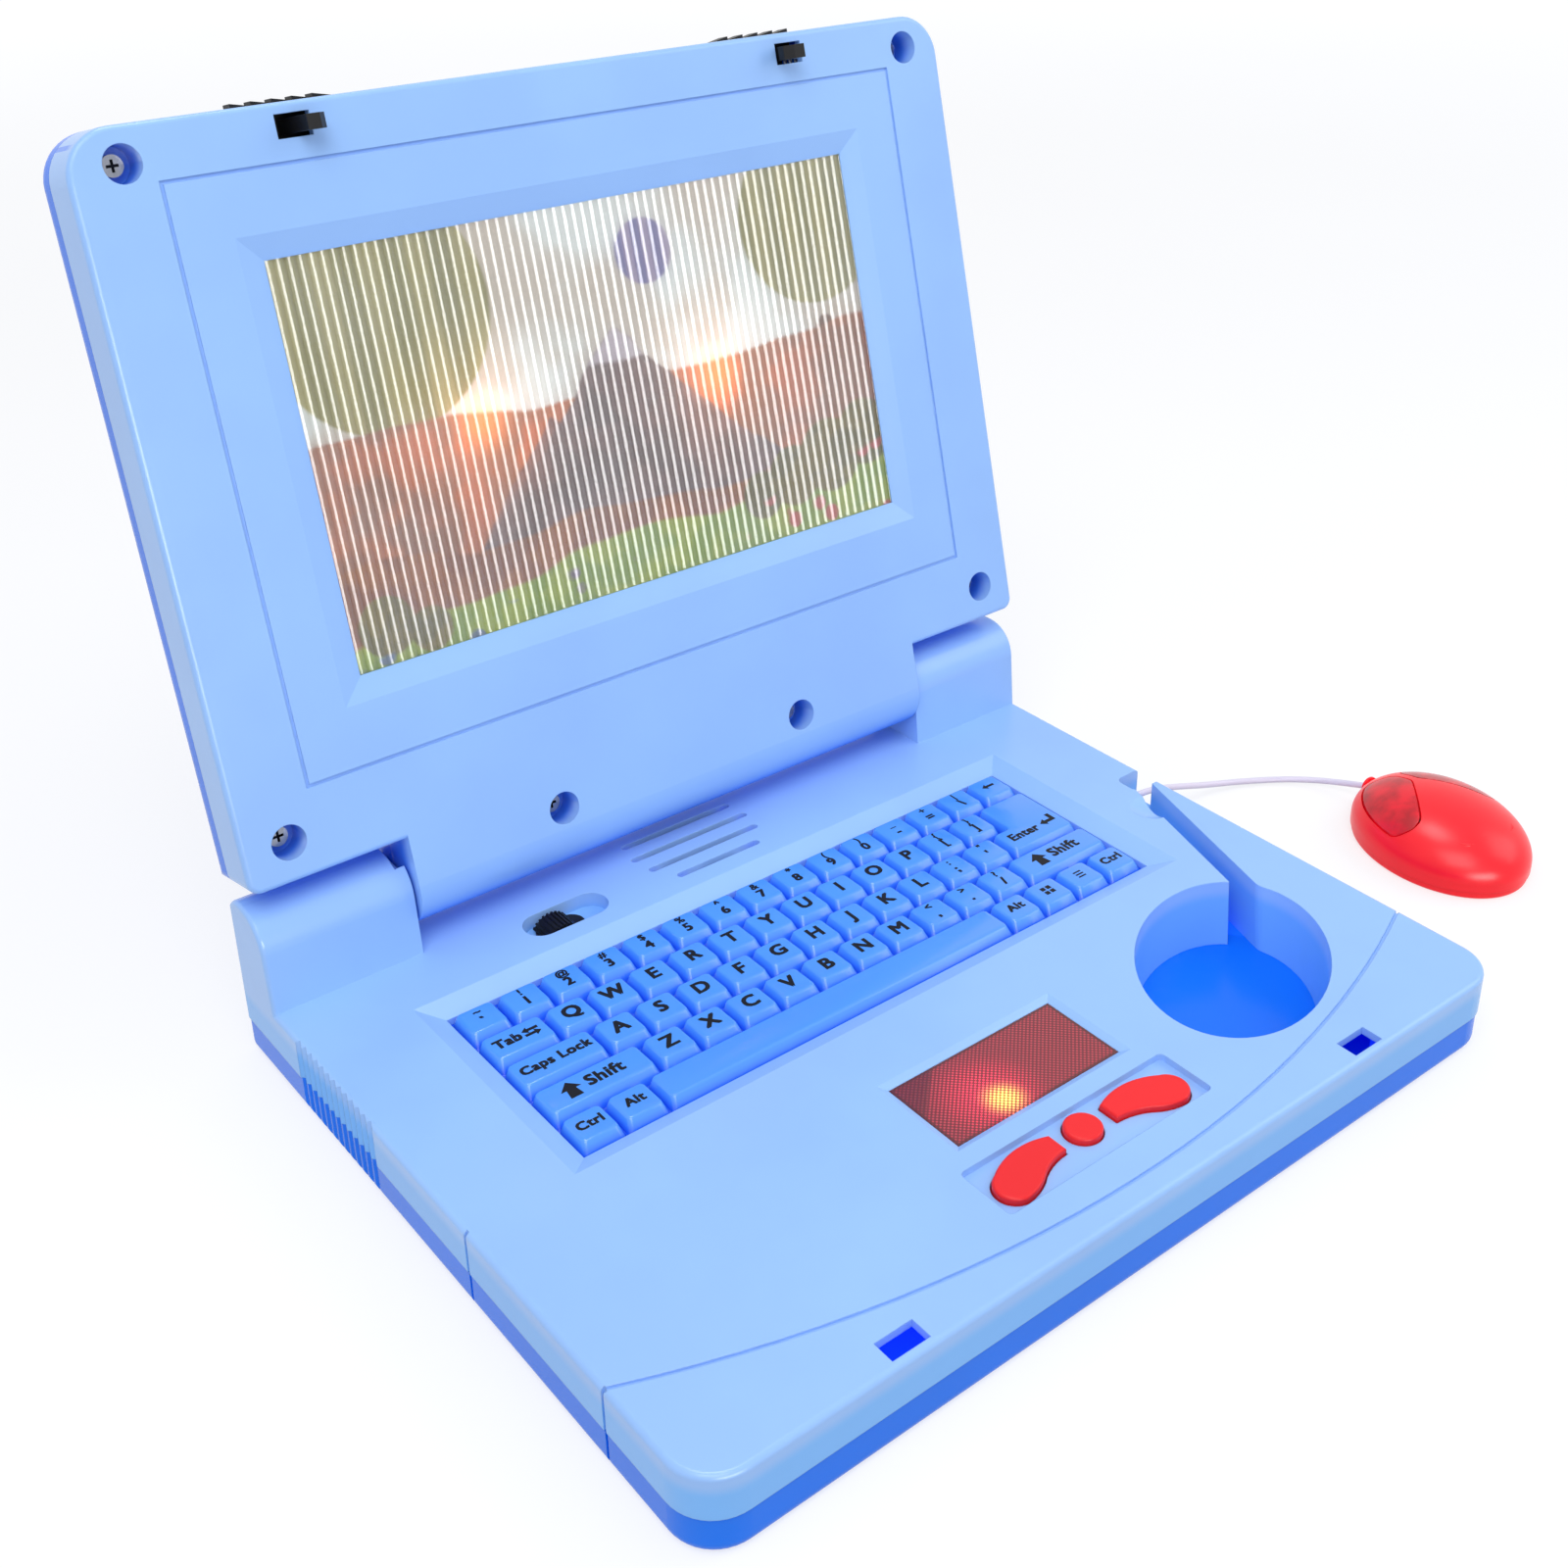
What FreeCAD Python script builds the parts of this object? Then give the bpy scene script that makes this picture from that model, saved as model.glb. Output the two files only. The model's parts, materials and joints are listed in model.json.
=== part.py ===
import FreeCAD, Part
import os
import math

V = FreeCAD.Vector
X_AXIS = V(1, 0, 0)
Y_AXIS = V(0, 1, 0)
Z_AXIS = V(0, 0, 1)
ORIGIN = V(0, 0, 0)

# Base shells: X to the right, Y to the back, origin in the middle of the underside
BASE_WIDTH = 260.0
BASE_DEPTH = 209.0
BASE_TOP = 22.5
SEAM_HEIGHT = 10.6
CASE_WALL = 2.2
TRAY_FLOOR = 2.5
TRAY_INSET = 0.3
FRONT_CORNER = 12.0
BACK_CORNER = 3.4
TRAY_EDGE = 3.0
TOP_EDGE = 1.4
CUT_OVER = 1.0

# Shallow lines in the base and the vent teeth on its side walls
LINE_WIDTH = 0.9
LINE_DEPTH = 0.7
ARC_MIDDLE_INSET = 6.7
ARC_END_INSET = 33.5
PANEL_LINE_Y = -15.5
VENT_COUNT = 13
VENT_PITCH = 3.2
VENT_INSET = 34.3
VENT_STEEP = 0.95
VENT_DEPTH = 0.9
VENT_RIDGE = 0.1

# Keyboard: the frame of the top case slopes down to a plate with all the keys
KEY_PITCH_X = 12.66
KEY_PITCH_Y = 12.9
KEYBOARD_INSET = 81.1
KEY_FIELD_GAP = 0.5
KEYBOARD_BEVEL = 6.0
KEYBOARD_DROP = 2.7
KEYBOARD_SKIN = 2.0
KEYBOARD_BORDER = 2.0
KEY_TOP_DROP = 1.3
KEY_GAP = 0.5
KEY_SIDE_SLOPE = 1.1
KEY_FRONT_SLOPE = 2.3
KEY_BACK_SLOPE = 0.6
PLATE_THICK = 1.8
PLATE_LAP = 1.8
KEY_ROWS = (
    (1,) * 15,
    (1.5,) + (1,) * 12 + (1.5,),
    (2,) + (1,) * 11 + (2,),
    (2.5,) + (1,) * 10 + (2.5,),
    (1, 1, 9, 1, 1, 1, 1),
)
ENTER_ROW = 2
ENTER_UPPER_UNITS = 1.5

# Touchpad window
PAD_WIDTH = 53.9
PAD_DEPTH = 25.3
PAD_Y = -50.7
PAD_BEVEL = 2.0
PAD_DROP = 1.05
PAD_FIT = 0.15
PAD_LAP = 2.5
PAD_FLANGE = 1.2

# Button panel and the three buttons
PANEL_WIDTH = 67.4
PANEL_DEPTH = 17.1
PANEL_Y = -79.5
PANEL_DROP = 2.0
PANEL_SKIN = 1.8
PANEL_CORNER = 1.5
PANEL_BORDER = 2.0
ROUND_BUTTON_R = 4.9
BUTTON_Y = -77.3
BUTTON_FIT = 0.35
BUTTON_FLANGE = 1.3
BUTTON_FLANGE_THICK = 1.4
BUTTON_TOP_DROP = 0.2
BUTTON_EDGE = 0.7
BUTTON_STEM_R = 2.4
BUTTON_STEM = 0.6
BUTTON_TRAVEL = 1.5
BEAN_STEM_X = 20.0
BEAN_STEM_Y = -78.8
BEAN_INNER_CORNER = 1.2
BEAN_INNER_X = 8.5
BEAN_INNER_HIGH_Y = -74.5
BEAN_INNER_LOW_Y = -80.3
BEAN_CREST = (18.5, -72.8)
BEAN_SHOULDER = (27.5, -76.0)
BEAN_TIP = (31.0, -80.8)
BEAN_HEEL = (26.5, -86.2)
BEAN_BELLY = (21.9, -85.3)
BEAN_WAIST = (17.6, -82.9)
BEAN_NECK = (13.6, -81.1)

# Boards, membrane and lamp under the buttons
BUTTON_BOARD_WIDTH = 68.0
BUTTON_BOARD_DEPTH = 46.0
BUTTON_BOARD_Y = -67.0
BOARD_THICK = 1.6
BUTTON_BOARD_Z = 9.6
POST_R = 2.5
POST_INSET = 4.0
MEMBRANE_WIDTH = 62.0
MEMBRANE_DEPTH = 15.0
MEMBRANE_THICK = 0.8
DOME_R = 4.0
DOME_TOP_R = 2.6
DOME_CLEARANCE = 0.2
LAMP_R = 1.5
LAMP_HEIGHT = 5.3
PAD_LAMP_X = -7.0
PAD_LAMP_Y = -58.0

# Main board
MAIN_BOARD_WIDTH = 84.0
MAIN_BOARD_DEPTH = 44.0
MAIN_BOARD_SHIFT = 1.4
MAIN_BOARD_Z = 6.0
CHIP_BLOB_R = 7.0
CHIP_BLOB_HEIGHT = 2.2
CHIP_WIDTH = 22.0
CHIP_DEPTH = 8.0
CHIP_HEIGHT = 3.4
CHIP_OFFSET = 22.0

# Power switch
POCKET_X = -48.8
POCKET_INSET = 30.9
POCKET_LENGTH = 25.8
POCKET_WIDTH = 10.8
POCKET_DROP = 4.4
POCKET_SKIN = 1.6
POCKET_BORDER = 1.8
KNOB_X = -52.0
KNOB_LENGTH = 10.6
KNOB_WIDTH = 7.6
KNOB_TOP_DROP = 0.1
KNOB_DOME_R = 6.0
KNOB_NOTCHES = 9
KNOB_NOTCH_ANGLE = 13.0
KNOB_NOTCH_WIDTH = 0.7
KNOB_NOTCH_DEPTH = 0.45
SKIRT_LEFT = 6.0
SKIRT_RIGHT = 8.5
SKIRT_WIDTH = 8.4
SKIRT_THICK = 0.9
KNOB_STEM = 3.0
KNOB_TRAVEL = 7.0
KNOB_FIT = 0.3
SWITCH_LENGTH = 24.0
SWITCH_WIDTH = 9.0
SWITCH_HEIGHT = 6.0
STEM_DEPTH = 2.6

# Speaker and the slots above it
SPEAKER_INSET = 20.7
GRILLE_R = 20.4
SLOT_COUNT = 5
SLOT_PITCH = 7.25
SLOT_WIDTH = 2.3
SPEAKER_R = 17.6
SPEAKER_RIM = 2.4
SPEAKER_RIM_THICK = 1.2
BASKET_DEPTH = 7.0
BASKET_R = 9.0
BASKET_WALL = 0.8
CONE_WALL = 0.5
MAGNET_R = 8.0
MAGNET_HEIGHT = 4.0

# Recess for the mouse, groove for its cord
RECESS_SHIFT = 3.35
RECESS_Y = -55.8
RECESS_LONG = 35.2
RECESS_SHORT = 25.8
RECESS_TILT = 34.3
RECESS_FOOT = 0.94
RECESS_WALL = 2.0
GROOVE_START_X = 23.7
GROOVE_START_Y = 5.8
GROOVE_END_X = 4.0
GROOVE_END_Y = -3.4
GROOVE_WIDTH = 6.5
GROOVE_CORNER = 5.0
GROOVE_DEEP = 40.5
GROOVE_SKIN = 1.8
NOTCH_INSET = 10.0
NOTCH_DEPTH = 10.0
NOTCH_Y = 22.4
NOTCH_WIDTH = 8.6
NOTCH_CORNER = 2.5
SCOOP_INSET = 13.5
SCOOP_SHIFT = 13.6
SCOOP_R = 12.0
SCOOP_RISE = 10.2

# Hinge and its blocks; the axis runs along X
HINGE_INSET = 8.04
HINGE_RISE = 16.22
OPEN_ANGLE = 76.21
BLOCK_INNER = 87.6
BLOCK_REACH = 14.1
BLOCK_SHOULDER_REACH = 12.5
BLOCK_SHOULDER_RISE = 1.0
BLOCK_BROW_REACH = 9.16
BLOCK_BROW_RISE = 7.83
BLOCK_CROWN_REACH = 2.08
BLOCK_RISE = 10.6
BLOCK_BACK_RISE = 2.8
BLOCK_NAPE_BACK = 5.4
BLOCK_NAPE_RISE = 8.3
BLOCK_EDGE = 1.2
BLOCK_SLACK = 1.6
BLOCK_NOTCH_WIDTH = 2.8
BLOCK_NOTCH_REACH = 8.2
BLOCK_NOTCH_DROP = 5.0
PIN_R = 3.0
PIN_FIT = 0.05
PIN_IN_BLOCK = 10.0
PIN_IN_LID = 6.0
PIN_BOSS_R = 5.6
LID_BOSS_LENGTH = 7.0

# Latch slots in the base, on both sides; X is measured from each latch's middle
LATCH_SIDE_INSET = 55.0
LATCH_SLOT_INNER = -4.8
LATCH_SLOT_OUTER = 5.6
LATCH_INSET = 4.9
LATCH_SLOT_DEPTH = 6.0

# Battery box: three AA cells side by side along Y
CELL_R = 7.1
CELL_LENGTH = 49.2
CELL_NUB_R = 2.7
CELL_NUB = 1.3
CELL_PITCH = 15.2
CELL_COUNT = 3
BATTERY_INSET = 46.0
BATTERY_SETBACK = 46.5
BATTERY_LENGTH = 56.0
BATTERY_WIDTH = 46.6
BATTERY_HEIGHT = 17.8
BATTERY_WALL = 1.6
CONTACT_THICK = 0.5
CONTACT_SIDE = 11.0
COIL_R = 3.4
COIL_WALL = 0.6
DOOR_LAP = 2.0
DOOR_THICK = 1.6
DOOR_FIT = 0.2
DOOR_EAR_R = 5.5
DOOR_EAR_OFFSET = 33.0
DOOR_BOSS_R = 4.2
DOOR_BOSS_TOP = 9.0

# Screws
SCREW_R = 1.4
SCREW_HOLE_R = 1.7
HEAD_R = 2.65
HEAD_HEIGHT = 2.0
CROSS_WIDTH = 0.7
CROSS_LENGTH = 3.0
CROSS_DEPTH = 1.1
SCREW_WELL_R = 3.4
SCREW_WELL = 4.0
BOSS_R = 4.5
BASE_SCREW_LENGTH = 12.0
FRONT_SCREW_SIDE = 12.0
FRONT_SCREW_INSET = 12.5
SIDE_SCREW_INSET = 13.0
LEFT_SCREW_Y = 5.0
RIGHT_SCREW_Y = 50.0
BACK_SCREW_X = 62.0
BACK_SCREW_INSET = 8.5
DOOR_SCREW_LENGTH = 6.0

# Lid in its own frame: origin on the hinge axis, Y up the lid, Z out of its face
LID_SIDE_INSET = 0.0
LID_GAP = 0.6
LID_THICK = 25.5
LID_FRONT_THICK = 14.0
LID_LOW = 15.06
LID_OVERHANG = 0.8
LID_TOP_CORNER = 12.0
LID_LOW_CORNER = 3.5
LID_FACE_EDGE = 1.4
LID_BACK_EDGE = 8.0
LID_SKIN = 2.4
TONGUE_GAP = 0.7
TONGUE_R = 13.0
TONGUE_CENTRE_Y = 1.16
TONGUE_BACK_R = 6.0
FRAME_LINE_SIDE = 20.6
FRAME_LINE_LOW = 37.7
FRAME_LINE_TOP = 14.26
SCREEN_WIDTH = 177.8
SCREEN_LOW = 60.4
SCREEN_TOP_INSET = 35.86
SCREEN_BEVEL = 6.4
SCREEN_DROP = 1.9
LENS_LAP = 3.0
LENS_THICK = 1.4
CARD_THICK = 0.8
LID_WELL_R = 4.6
LID_WELL = 9.5
LID_BOSS_R = 6.4
LID_SCREW_LENGTH = 10.0
TOP_SCREW_SIDE = 13.0
TOP_SCREW_INSET = 8.86
LOW_SCREW_SIDE = 12.6
LOW_SCREW_Y = 25.5
TONGUE_SCREW_X = 41.3
TONGUE_SCREW_Y = 7.0
LAMP_BOARD_LENGTH = 110.0
LAMP_BOARD_DEPTH = 16.0
LAMP_BOARD_SHIFT = 0.35
LAMP_BOARD_Z = -3.0
SCREEN_LAMP_R = 2.5
SCREEN_LAMP_HEIGHT = 9.0
LEFT_LAMP_X = -40.0
RIGHT_LAMP_X = 35.0
LAMP_STAGGER = 1.5
LAMP_POST_X = 48.0

# Latches; X is measured from each latch's middle
LATCH_HOLE_INNER = -4.7
LATCH_HOLE_OUTER = 4.3
LATCH_HOLE_LENGTH = 5.8
HOOK_INNER = -3.8
HOOK_OUTER = -0.4
HOOK_LENGTH = 3.7
HOOK_REACH = 8.0
BARB = 2.2
BARB_CLEARANCE = 0.3
BARB_RAMP = 2.4
LATCH_TRAVEL = 3.5
GRIP_INNER = -17.0
GRIP_LENGTH = 26.6
GRIP_LOW = -0.9
GRIP_HIGH = 3.5
GRIP_PROUD = 1.4
GRIP_ROOT = 1.2
GRIP_TEETH = 5
GRIP_TOOTH_DEPTH = 1.1
GRIP_FIT = 0.4
SLIDER_INNER = -13.0
SLIDER_OUTER = 5.0
SLIDER_LENGTH = 9.0
SLIDER_LOW = -3.0
SLIDER_HIGH = 5.0
GUIDE_INNER = -16.5
GUIDE_MARGIN = 1.0
SPRING_STOP = 17.0
STOP_WALL = 2.0
SPRING_R = 2.4
SPRING_WIRE_R = 0.3
SPRING_TURNS = 6
SPRING_AXIS_Z = 1.0

# Mouse in its own frame: origin on the floor under its middle, X to its nose
MOUSE_X = 196.1
MOUSE_Y = -40.5
MOUSE_TURN = 80.0
MOUSE_LONG = 30.5
MOUSE_WIDE = 23.5
MOUSE_HEIGHT = 19.5
MOUSE_WAIST = 5.0
MOUSE_WALL = 1.8
MOUSE_PLATE = 2.6
MOUSE_PLATE_INSET = 0.5
MOUSE_PLATE_EDGE = 1.0
MOUSE_BUTTON_SLANT = -36.0
MOUSE_BUTTON_BACK = 13.6
MOUSE_BUTTON_FRONT = 15.7
MOUSE_BUTTON_INNER = 9.0
MOUSE_RIDGE = 1.6
MOUSE_BUTTON_LONG = 27.0
MOUSE_BUTTON_WIDE = 21.0
MOUSE_BUTTON_GAP = 0.5
MOUSE_BUTTON_CORNER = 4.0
MOUSE_STEM_X = 14.0
MOUSE_STEM_Y = 8.0
MOUSE_STEM_R = 1.5
MOUSE_STEM_TOP = 15.6
MOUSE_BUTTON_TRAVEL = 0.8
MOUSE_BOARD_BACK = -8.0
MOUSE_BOARD_FRONT = 20.0
MOUSE_BOARD_WIDTH = 24.0
MOUSE_BOARD_Z = 4.2
MOUSE_SWITCH_SIDE = 6.0
MOUSE_SWITCH_HEIGHT = 3.6
MOUSE_SWITCH_GAP = 0.1
MOUSE_BOSS_X = -17.0
MOUSE_BOSS_Y = 8.0
MOUSE_BOSS_R = 2.8
MOUSE_BOSS_TOP = 15.0
MOUSE_SCREW_R = 1.1
MOUSE_SCREW_HEAD_R = 2.0
MOUSE_SCREW_HEAD = 1.2
MOUSE_SCREW_LENGTH = 7.0
MOUSE_SCREW_WELL = 1.4

# Cord from the base to the mouse
CORD_R = 1.0
CORD_GAP = 0.4
CORD_BEND_SHARE = 0.45
CORD_EXIT_Z = 17.2
CORD_POINTS = (
    (131.0, 22.8, 16.6),
    (146.0, 25.0, 10.8),
    (162.0, 26.2, 4.6),
    (178.0, 22.4, 1.8),
    (191.5, 13.6, 1.6),
    (199.5, 2.0, 2.9),
)
GROMMET_R = 2.2
GROMMET_FLANGE_R = 3.0
GROMMET_FLANGE = 0.8
GROMMET_LENGTH = 5.0
CORD_ENTRY_Z = 6.0
CORD_ENTRY_REACH = 31.8
CORD_BURIED = 1.2

# Values that follow from the ones above
HALF_WIDTH = BASE_WIDTH / 2
HALF_DEPTH = BASE_DEPTH / 2
TOP_SKIN_Z = BASE_TOP - CASE_WALL
HINGE_Y = HALF_DEPTH - HINGE_INSET
ARC_MIDDLE_Y = ARC_MIDDLE_INSET - HALF_DEPTH
ARC_END_Y = ARC_END_INSET - HALF_DEPTH
VENT_BACK_Y = HALF_DEPTH - VENT_INSET
KEYBOARD_Y = HALF_DEPTH - KEYBOARD_INSET
MAIN_BOARD_Y = KEYBOARD_Y - MAIN_BOARD_SHIFT
POCKET_Y = HALF_DEPTH - POCKET_INSET
SPEAKER_Y = HALF_DEPTH - SPEAKER_INSET
BATTERY_X = BATTERY_INSET - HALF_WIDTH
BATTERY_Y = BATTERY_SETBACK - HALF_DEPTH
RECESS_X = (PANEL_WIDTH / 2 + HALF_WIDTH) / 2 - RECESS_SHIFT
NOTCH_LEFT = HALF_WIDTH - NOTCH_INSET
NOTCH_FLOOR = BASE_TOP - NOTCH_DEPTH
SCOOP_X = HALF_WIDTH - SCOOP_INSET
SCOOP_Y = NOTCH_Y - SCOOP_SHIFT
GROOVE_START = V(RECESS_X + GROOVE_START_X, RECESS_Y + GROOVE_START_Y, 0)
GROOVE_END = V(NOTCH_LEFT + GROOVE_END_X, NOTCH_Y + GROOVE_END_Y, 0)
LATCH_X = HALF_WIDTH - LATCH_SIDE_INSET
BASE_SCREWS = (
    (FRONT_SCREW_SIDE - HALF_WIDTH, FRONT_SCREW_INSET - HALF_DEPTH),
    (HALF_WIDTH - FRONT_SCREW_SIDE, FRONT_SCREW_INSET - HALF_DEPTH),
    (SIDE_SCREW_INSET - HALF_WIDTH, LEFT_SCREW_Y),
    (HALF_WIDTH - SIDE_SCREW_INSET, RIGHT_SCREW_Y),
    (-BACK_SCREW_X, HALF_DEPTH - BACK_SCREW_INSET),
    (BACK_SCREW_X, HALF_DEPTH - BACK_SCREW_INSET),
)
HINGE_Z = BASE_TOP + HINGE_RISE
KEY_COLUMNS = len(KEY_ROWS[0])
KEY_FIELD_X = KEY_COLUMNS * KEY_PITCH_X
KEY_FIELD_Y = len(KEY_ROWS) * KEY_PITCH_Y
PLATE_TOP = BASE_TOP - KEYBOARD_DROP - KEYBOARD_SKIN
KEY_TOP = BASE_TOP - KEY_TOP_DROP
PANEL_FLOOR = BASE_TOP - PANEL_DROP
PANEL_UNDER = PANEL_FLOOR - PANEL_SKIN
POCKET_FLOOR = BASE_TOP - POCKET_DROP
POCKET_UNDER = POCKET_FLOOR - POCKET_SKIN
LID_FACE = HINGE_RISE - LID_GAP
LID_SEAM = LID_FACE - LID_FRONT_THICK
LID_BACK = LID_FACE - LID_THICK
LID_TOP = HINGE_Y + HALF_DEPTH + LID_OVERHANG
LID_HALF = HALF_WIDTH - LID_SIDE_INSET
FRAME_LINE_X = LID_HALF - FRAME_LINE_SIDE
FRAME_LINE_HIGH = LID_TOP - FRAME_LINE_TOP
SCREEN_HIGH = LID_TOP - SCREEN_TOP_INSET
LAMP_BOARD_Y = (SCREEN_LOW + SCREEN_HIGH) / 2 + LAMP_BOARD_SHIFT
SCREEN_LAMPS = ((LEFT_LAMP_X, LAMP_BOARD_Y + LAMP_STAGGER), (RIGHT_LAMP_X, LAMP_BOARD_Y - LAMP_STAGGER))
LID_SCREWS = (
    (TOP_SCREW_SIDE - LID_HALF, LID_TOP - TOP_SCREW_INSET),
    (LID_HALF - TOP_SCREW_SIDE, LID_TOP - TOP_SCREW_INSET),
    (LOW_SCREW_SIDE - LID_HALF, LOW_SCREW_Y),
    (LID_HALF - LOW_SCREW_SIDE, LOW_SCREW_Y),
    (-TONGUE_SCREW_X, TONGUE_SCREW_Y),
    (TONGUE_SCREW_X, TONGUE_SCREW_Y),
)
LID_INSIDE = LID_FACE - LID_SKIN
LID_BACK_INSIDE = LID_BACK + CASE_WALL
LATCH_SLOT_Y = LATCH_INSET - HALF_DEPTH
LATCH_V = HINGE_Y - LATCH_SLOT_Y
TONGUE_X = BLOCK_INNER - TONGUE_GAP
TONGUE_CENTRE_Z = LID_FACE - TONGUE_R
TONGUE_LOW = TONGUE_CENTRE_Y - TONGUE_R
CORD_PIVOT_X = NOTCH_LEFT + GROMMET_FLANGE + CORD_GAP


def box(x0, x1, y0, y1, z0, z1):
    """Box between two corners, whichever way round they are given."""
    low = V(min(x0, x1), min(y0, y1), min(z0, z1))
    return Part.makeBox(abs(x1 - x0), abs(y1 - y0), abs(z1 - z0), low)


def post(radius, x, y, z0, z1):
    """Upright cylinder."""
    return Part.makeCylinder(radius, z1 - z0, V(x, y, z0))


def rod(radius, x0, x1, y, z):
    """Cylinder lying along X."""
    return Part.makeCylinder(radius, abs(x1 - x0), V(min(x0, x1), y, z), X_AXIS)


def rounded_outline(x0, x1, y0, y1, z, front_r, back_r):
    """Closed wire of a rectangle whose front and back corners have their own radii."""
    corners = (
        (x1 - front_r, y0 + front_r, front_r, 270),
        (x1 - back_r, y1 - back_r, back_r, 0),
        (x0 + back_r, y1 - back_r, back_r, 90),
        (x0 + front_r, y0 + front_r, front_r, 180),
    )
    arcs = [Part.makeCircle(r, V(x, y, z), Z_AXIS, a, a + 90) for x, y, r, a in corners]
    edges = []
    for arc, following in zip(arcs, arcs[1:] + arcs[:1]):
        edges.append(arc)
        start = arc.valueAt(arc.LastParameter)
        edges.append(Part.makeLine(start, following.valueAt(following.FirstParameter)))
    return Part.Wire(edges)


def rounded_prism(x0, x1, y0, y1, z0, z1, front_r, back_r):
    """Upright prism on a rounded rectangle."""
    face = Part.Face(rounded_outline(x0, x1, y0, y1, z0, front_r, back_r))
    return face.extrude(V(0, 0, z1 - z0))


def rectangle(x0, x1, y0, y1, z):
    """Closed wire of a plain rectangle."""
    corners = (V(x0, y0, z), V(x1, y0, z), V(x1, y1, z), V(x0, y1, z))
    return Part.makePolygon(corners + corners[:1])


def sloped_opening(half_x, y0, y1, z_low, z_high, spread):
    """Solid of a rectangular opening whose four walls lean outwards to the top."""
    foot = rectangle(-half_x, half_x, y0, y1, z_low)
    rim = rectangle(-half_x - spread, half_x + spread, y0 - spread, y1 + spread, z_high)
    return Part.makeLoft([foot, rim], True, True)


def ellipse_wire(long_r, short_r, z):
    """Ellipse about the origin, long axis along X."""
    curve = Part.Ellipse(V(0, 0, z), long_r, short_r)
    return Part.Wire(curve.toShape())


def ellipse_prism(long_r, short_r, z0, z1):
    """Upright elliptical prism about the origin."""
    return Part.Face(ellipse_wire(long_r, short_r, z0)).extrude(V(0, 0, z1 - z0))


def obround(x, y, length, width, z0, z1):
    """Upright prism with half-round ends, long along X."""
    reach = (length - width) / 2
    body = box(x - reach, x + reach, y - width / 2, y + width / 2, z0, z1)
    ends = [post(width / 2, x + side * reach, y, z0, z1) for side in (-1, 1)]
    return body.fuse(ends).removeSplitter()


def side_profile(edges, x0, x1):
    """Solid from a closed outline in the YZ plane at x0, drawn out to x1."""
    return Part.Face(Part.Wire(edges)).extrude(V(x1 - x0, 0, 0))


def line(a, b):
    """Straight edge."""
    return Part.makeLine(V(*a), V(*b))


def arc(a, b, c):
    """Round edge from a through b to c."""
    return Part.Arc(V(*a), V(*b), V(*c)).toShape()


def edges_at(shape, z):
    """Edges of a shape that lie at one height."""
    def level(edge):
        return abs(edge.BoundBox.ZMin - z) < 1e-4 and abs(edge.BoundBox.ZMax - z) < 1e-4
    return [edge for edge in shape.Edges if level(edge)]


def joined(first, others):
    """One solid from a first piece and those that touch it."""
    return first.fuse(others).removeSplitter()


def one_solid(shape):
    """The single solid of a result."""
    if len(shape.Solids) != 1:
        raise ValueError("expected one solid, found %d" % len(shape.Solids))
    return shape.Solids[0]


def screw(x, y, z, length, radius, head_r, head_h, up):
    """Pan-head screw with a cross slot. The head's bearing face is at z; the shank runs along up."""
    head = Part.makeCylinder(head_r, head_h, V(x, y, z), V(0, 0, -up))
    shank = Part.makeCylinder(radius, length, V(x, y, z), V(0, 0, up))
    top = z - up * head_h
    floor = top + up * CROSS_DEPTH * head_h / HEAD_HEIGHT
    half = CROSS_LENGTH / 2 * head_r / HEAD_R
    width = CROSS_WIDTH / 2
    slots = [
        box(x - half, x + half, y - width, y + width, top, floor),
        box(x - width, x + width, y - half, y + half, top, floor),
    ]
    return head.fuse(shank).removeSplitter().cut(slots)


def in_lid(shape):
    """Takes a shape from the lid's own frame to the open lid."""
    placed = shape.copy()
    placed.rotate(ORIGIN, X_AXIS, OPEN_ANGLE)
    placed.translate(V(0, HINGE_Y, HINGE_Z))
    return placed


def in_mouse(shape):
    """Takes a shape from the mouse's own frame to its place beside the base."""
    placed = shape.copy()
    placed.rotate(ORIGIN, Z_AXIS, MOUSE_TURN)
    placed.translate(V(MOUSE_X, MOUSE_Y, 0))
    return placed


def in_recess(shape):
    """Takes a shape drawn about the origin to the mouse recess."""
    placed = shape.copy()
    placed.rotate(ORIGIN, Z_AXIS, RECESS_TILT)
    placed.translate(V(RECESS_X, RECESS_Y, 0))
    return placed


def at_latch(shape):
    """Takes a shape drawn about a latch's middle to the right latch."""
    placed = shape.copy()
    placed.translate(V(LATCH_X, 0, 0))
    return placed


def mirrored(shape):
    """Copy on the other side of the object's middle plane."""
    return shape.mirror(ORIGIN, X_AXIS)


def vent_teeth(side):
    """Cutter that leaves a row of saw teeth in a side wall."""
    outer = side * (HALF_WIDTH + CUT_OVER)
    ridge = side * (HALF_WIDTH - VENT_RIDGE)
    valley = side * (HALF_WIDTH - VENT_DEPTH)
    front = VENT_BACK_Y - VENT_COUNT * VENT_PITCH
    points = [V(outer, front, 0), V(outer, VENT_BACK_Y, 0)]
    for i in range(VENT_COUNT):
        y = VENT_BACK_Y - i * VENT_PITCH
        points.append(V(ridge, y, 0))
        points.append(V(valley, y - VENT_STEEP, 0))
    points.append(V(ridge, front, 0))
    face = Part.Face(Part.makePolygon(points + points[:1]))
    return face.extrude(V(0, 0, BASE_TOP))


def base_lines():
    """Cutters for the vent teeth and upright lines on both side walls."""
    cutters = []
    for side in (-1, 1):
        outer = side * (HALF_WIDTH + CUT_OVER)
        for y in (ARC_END_Y, PANEL_LINE_Y):
            inner = side * (HALF_WIDTH - TRAY_INSET - LINE_DEPTH)
            cutters.append(box(inner, outer, y - LINE_WIDTH / 2, y + LINE_WIDTH / 2, 0, BASE_TOP))
        cutters.append(vent_teeth(side))
    return cutters


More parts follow.
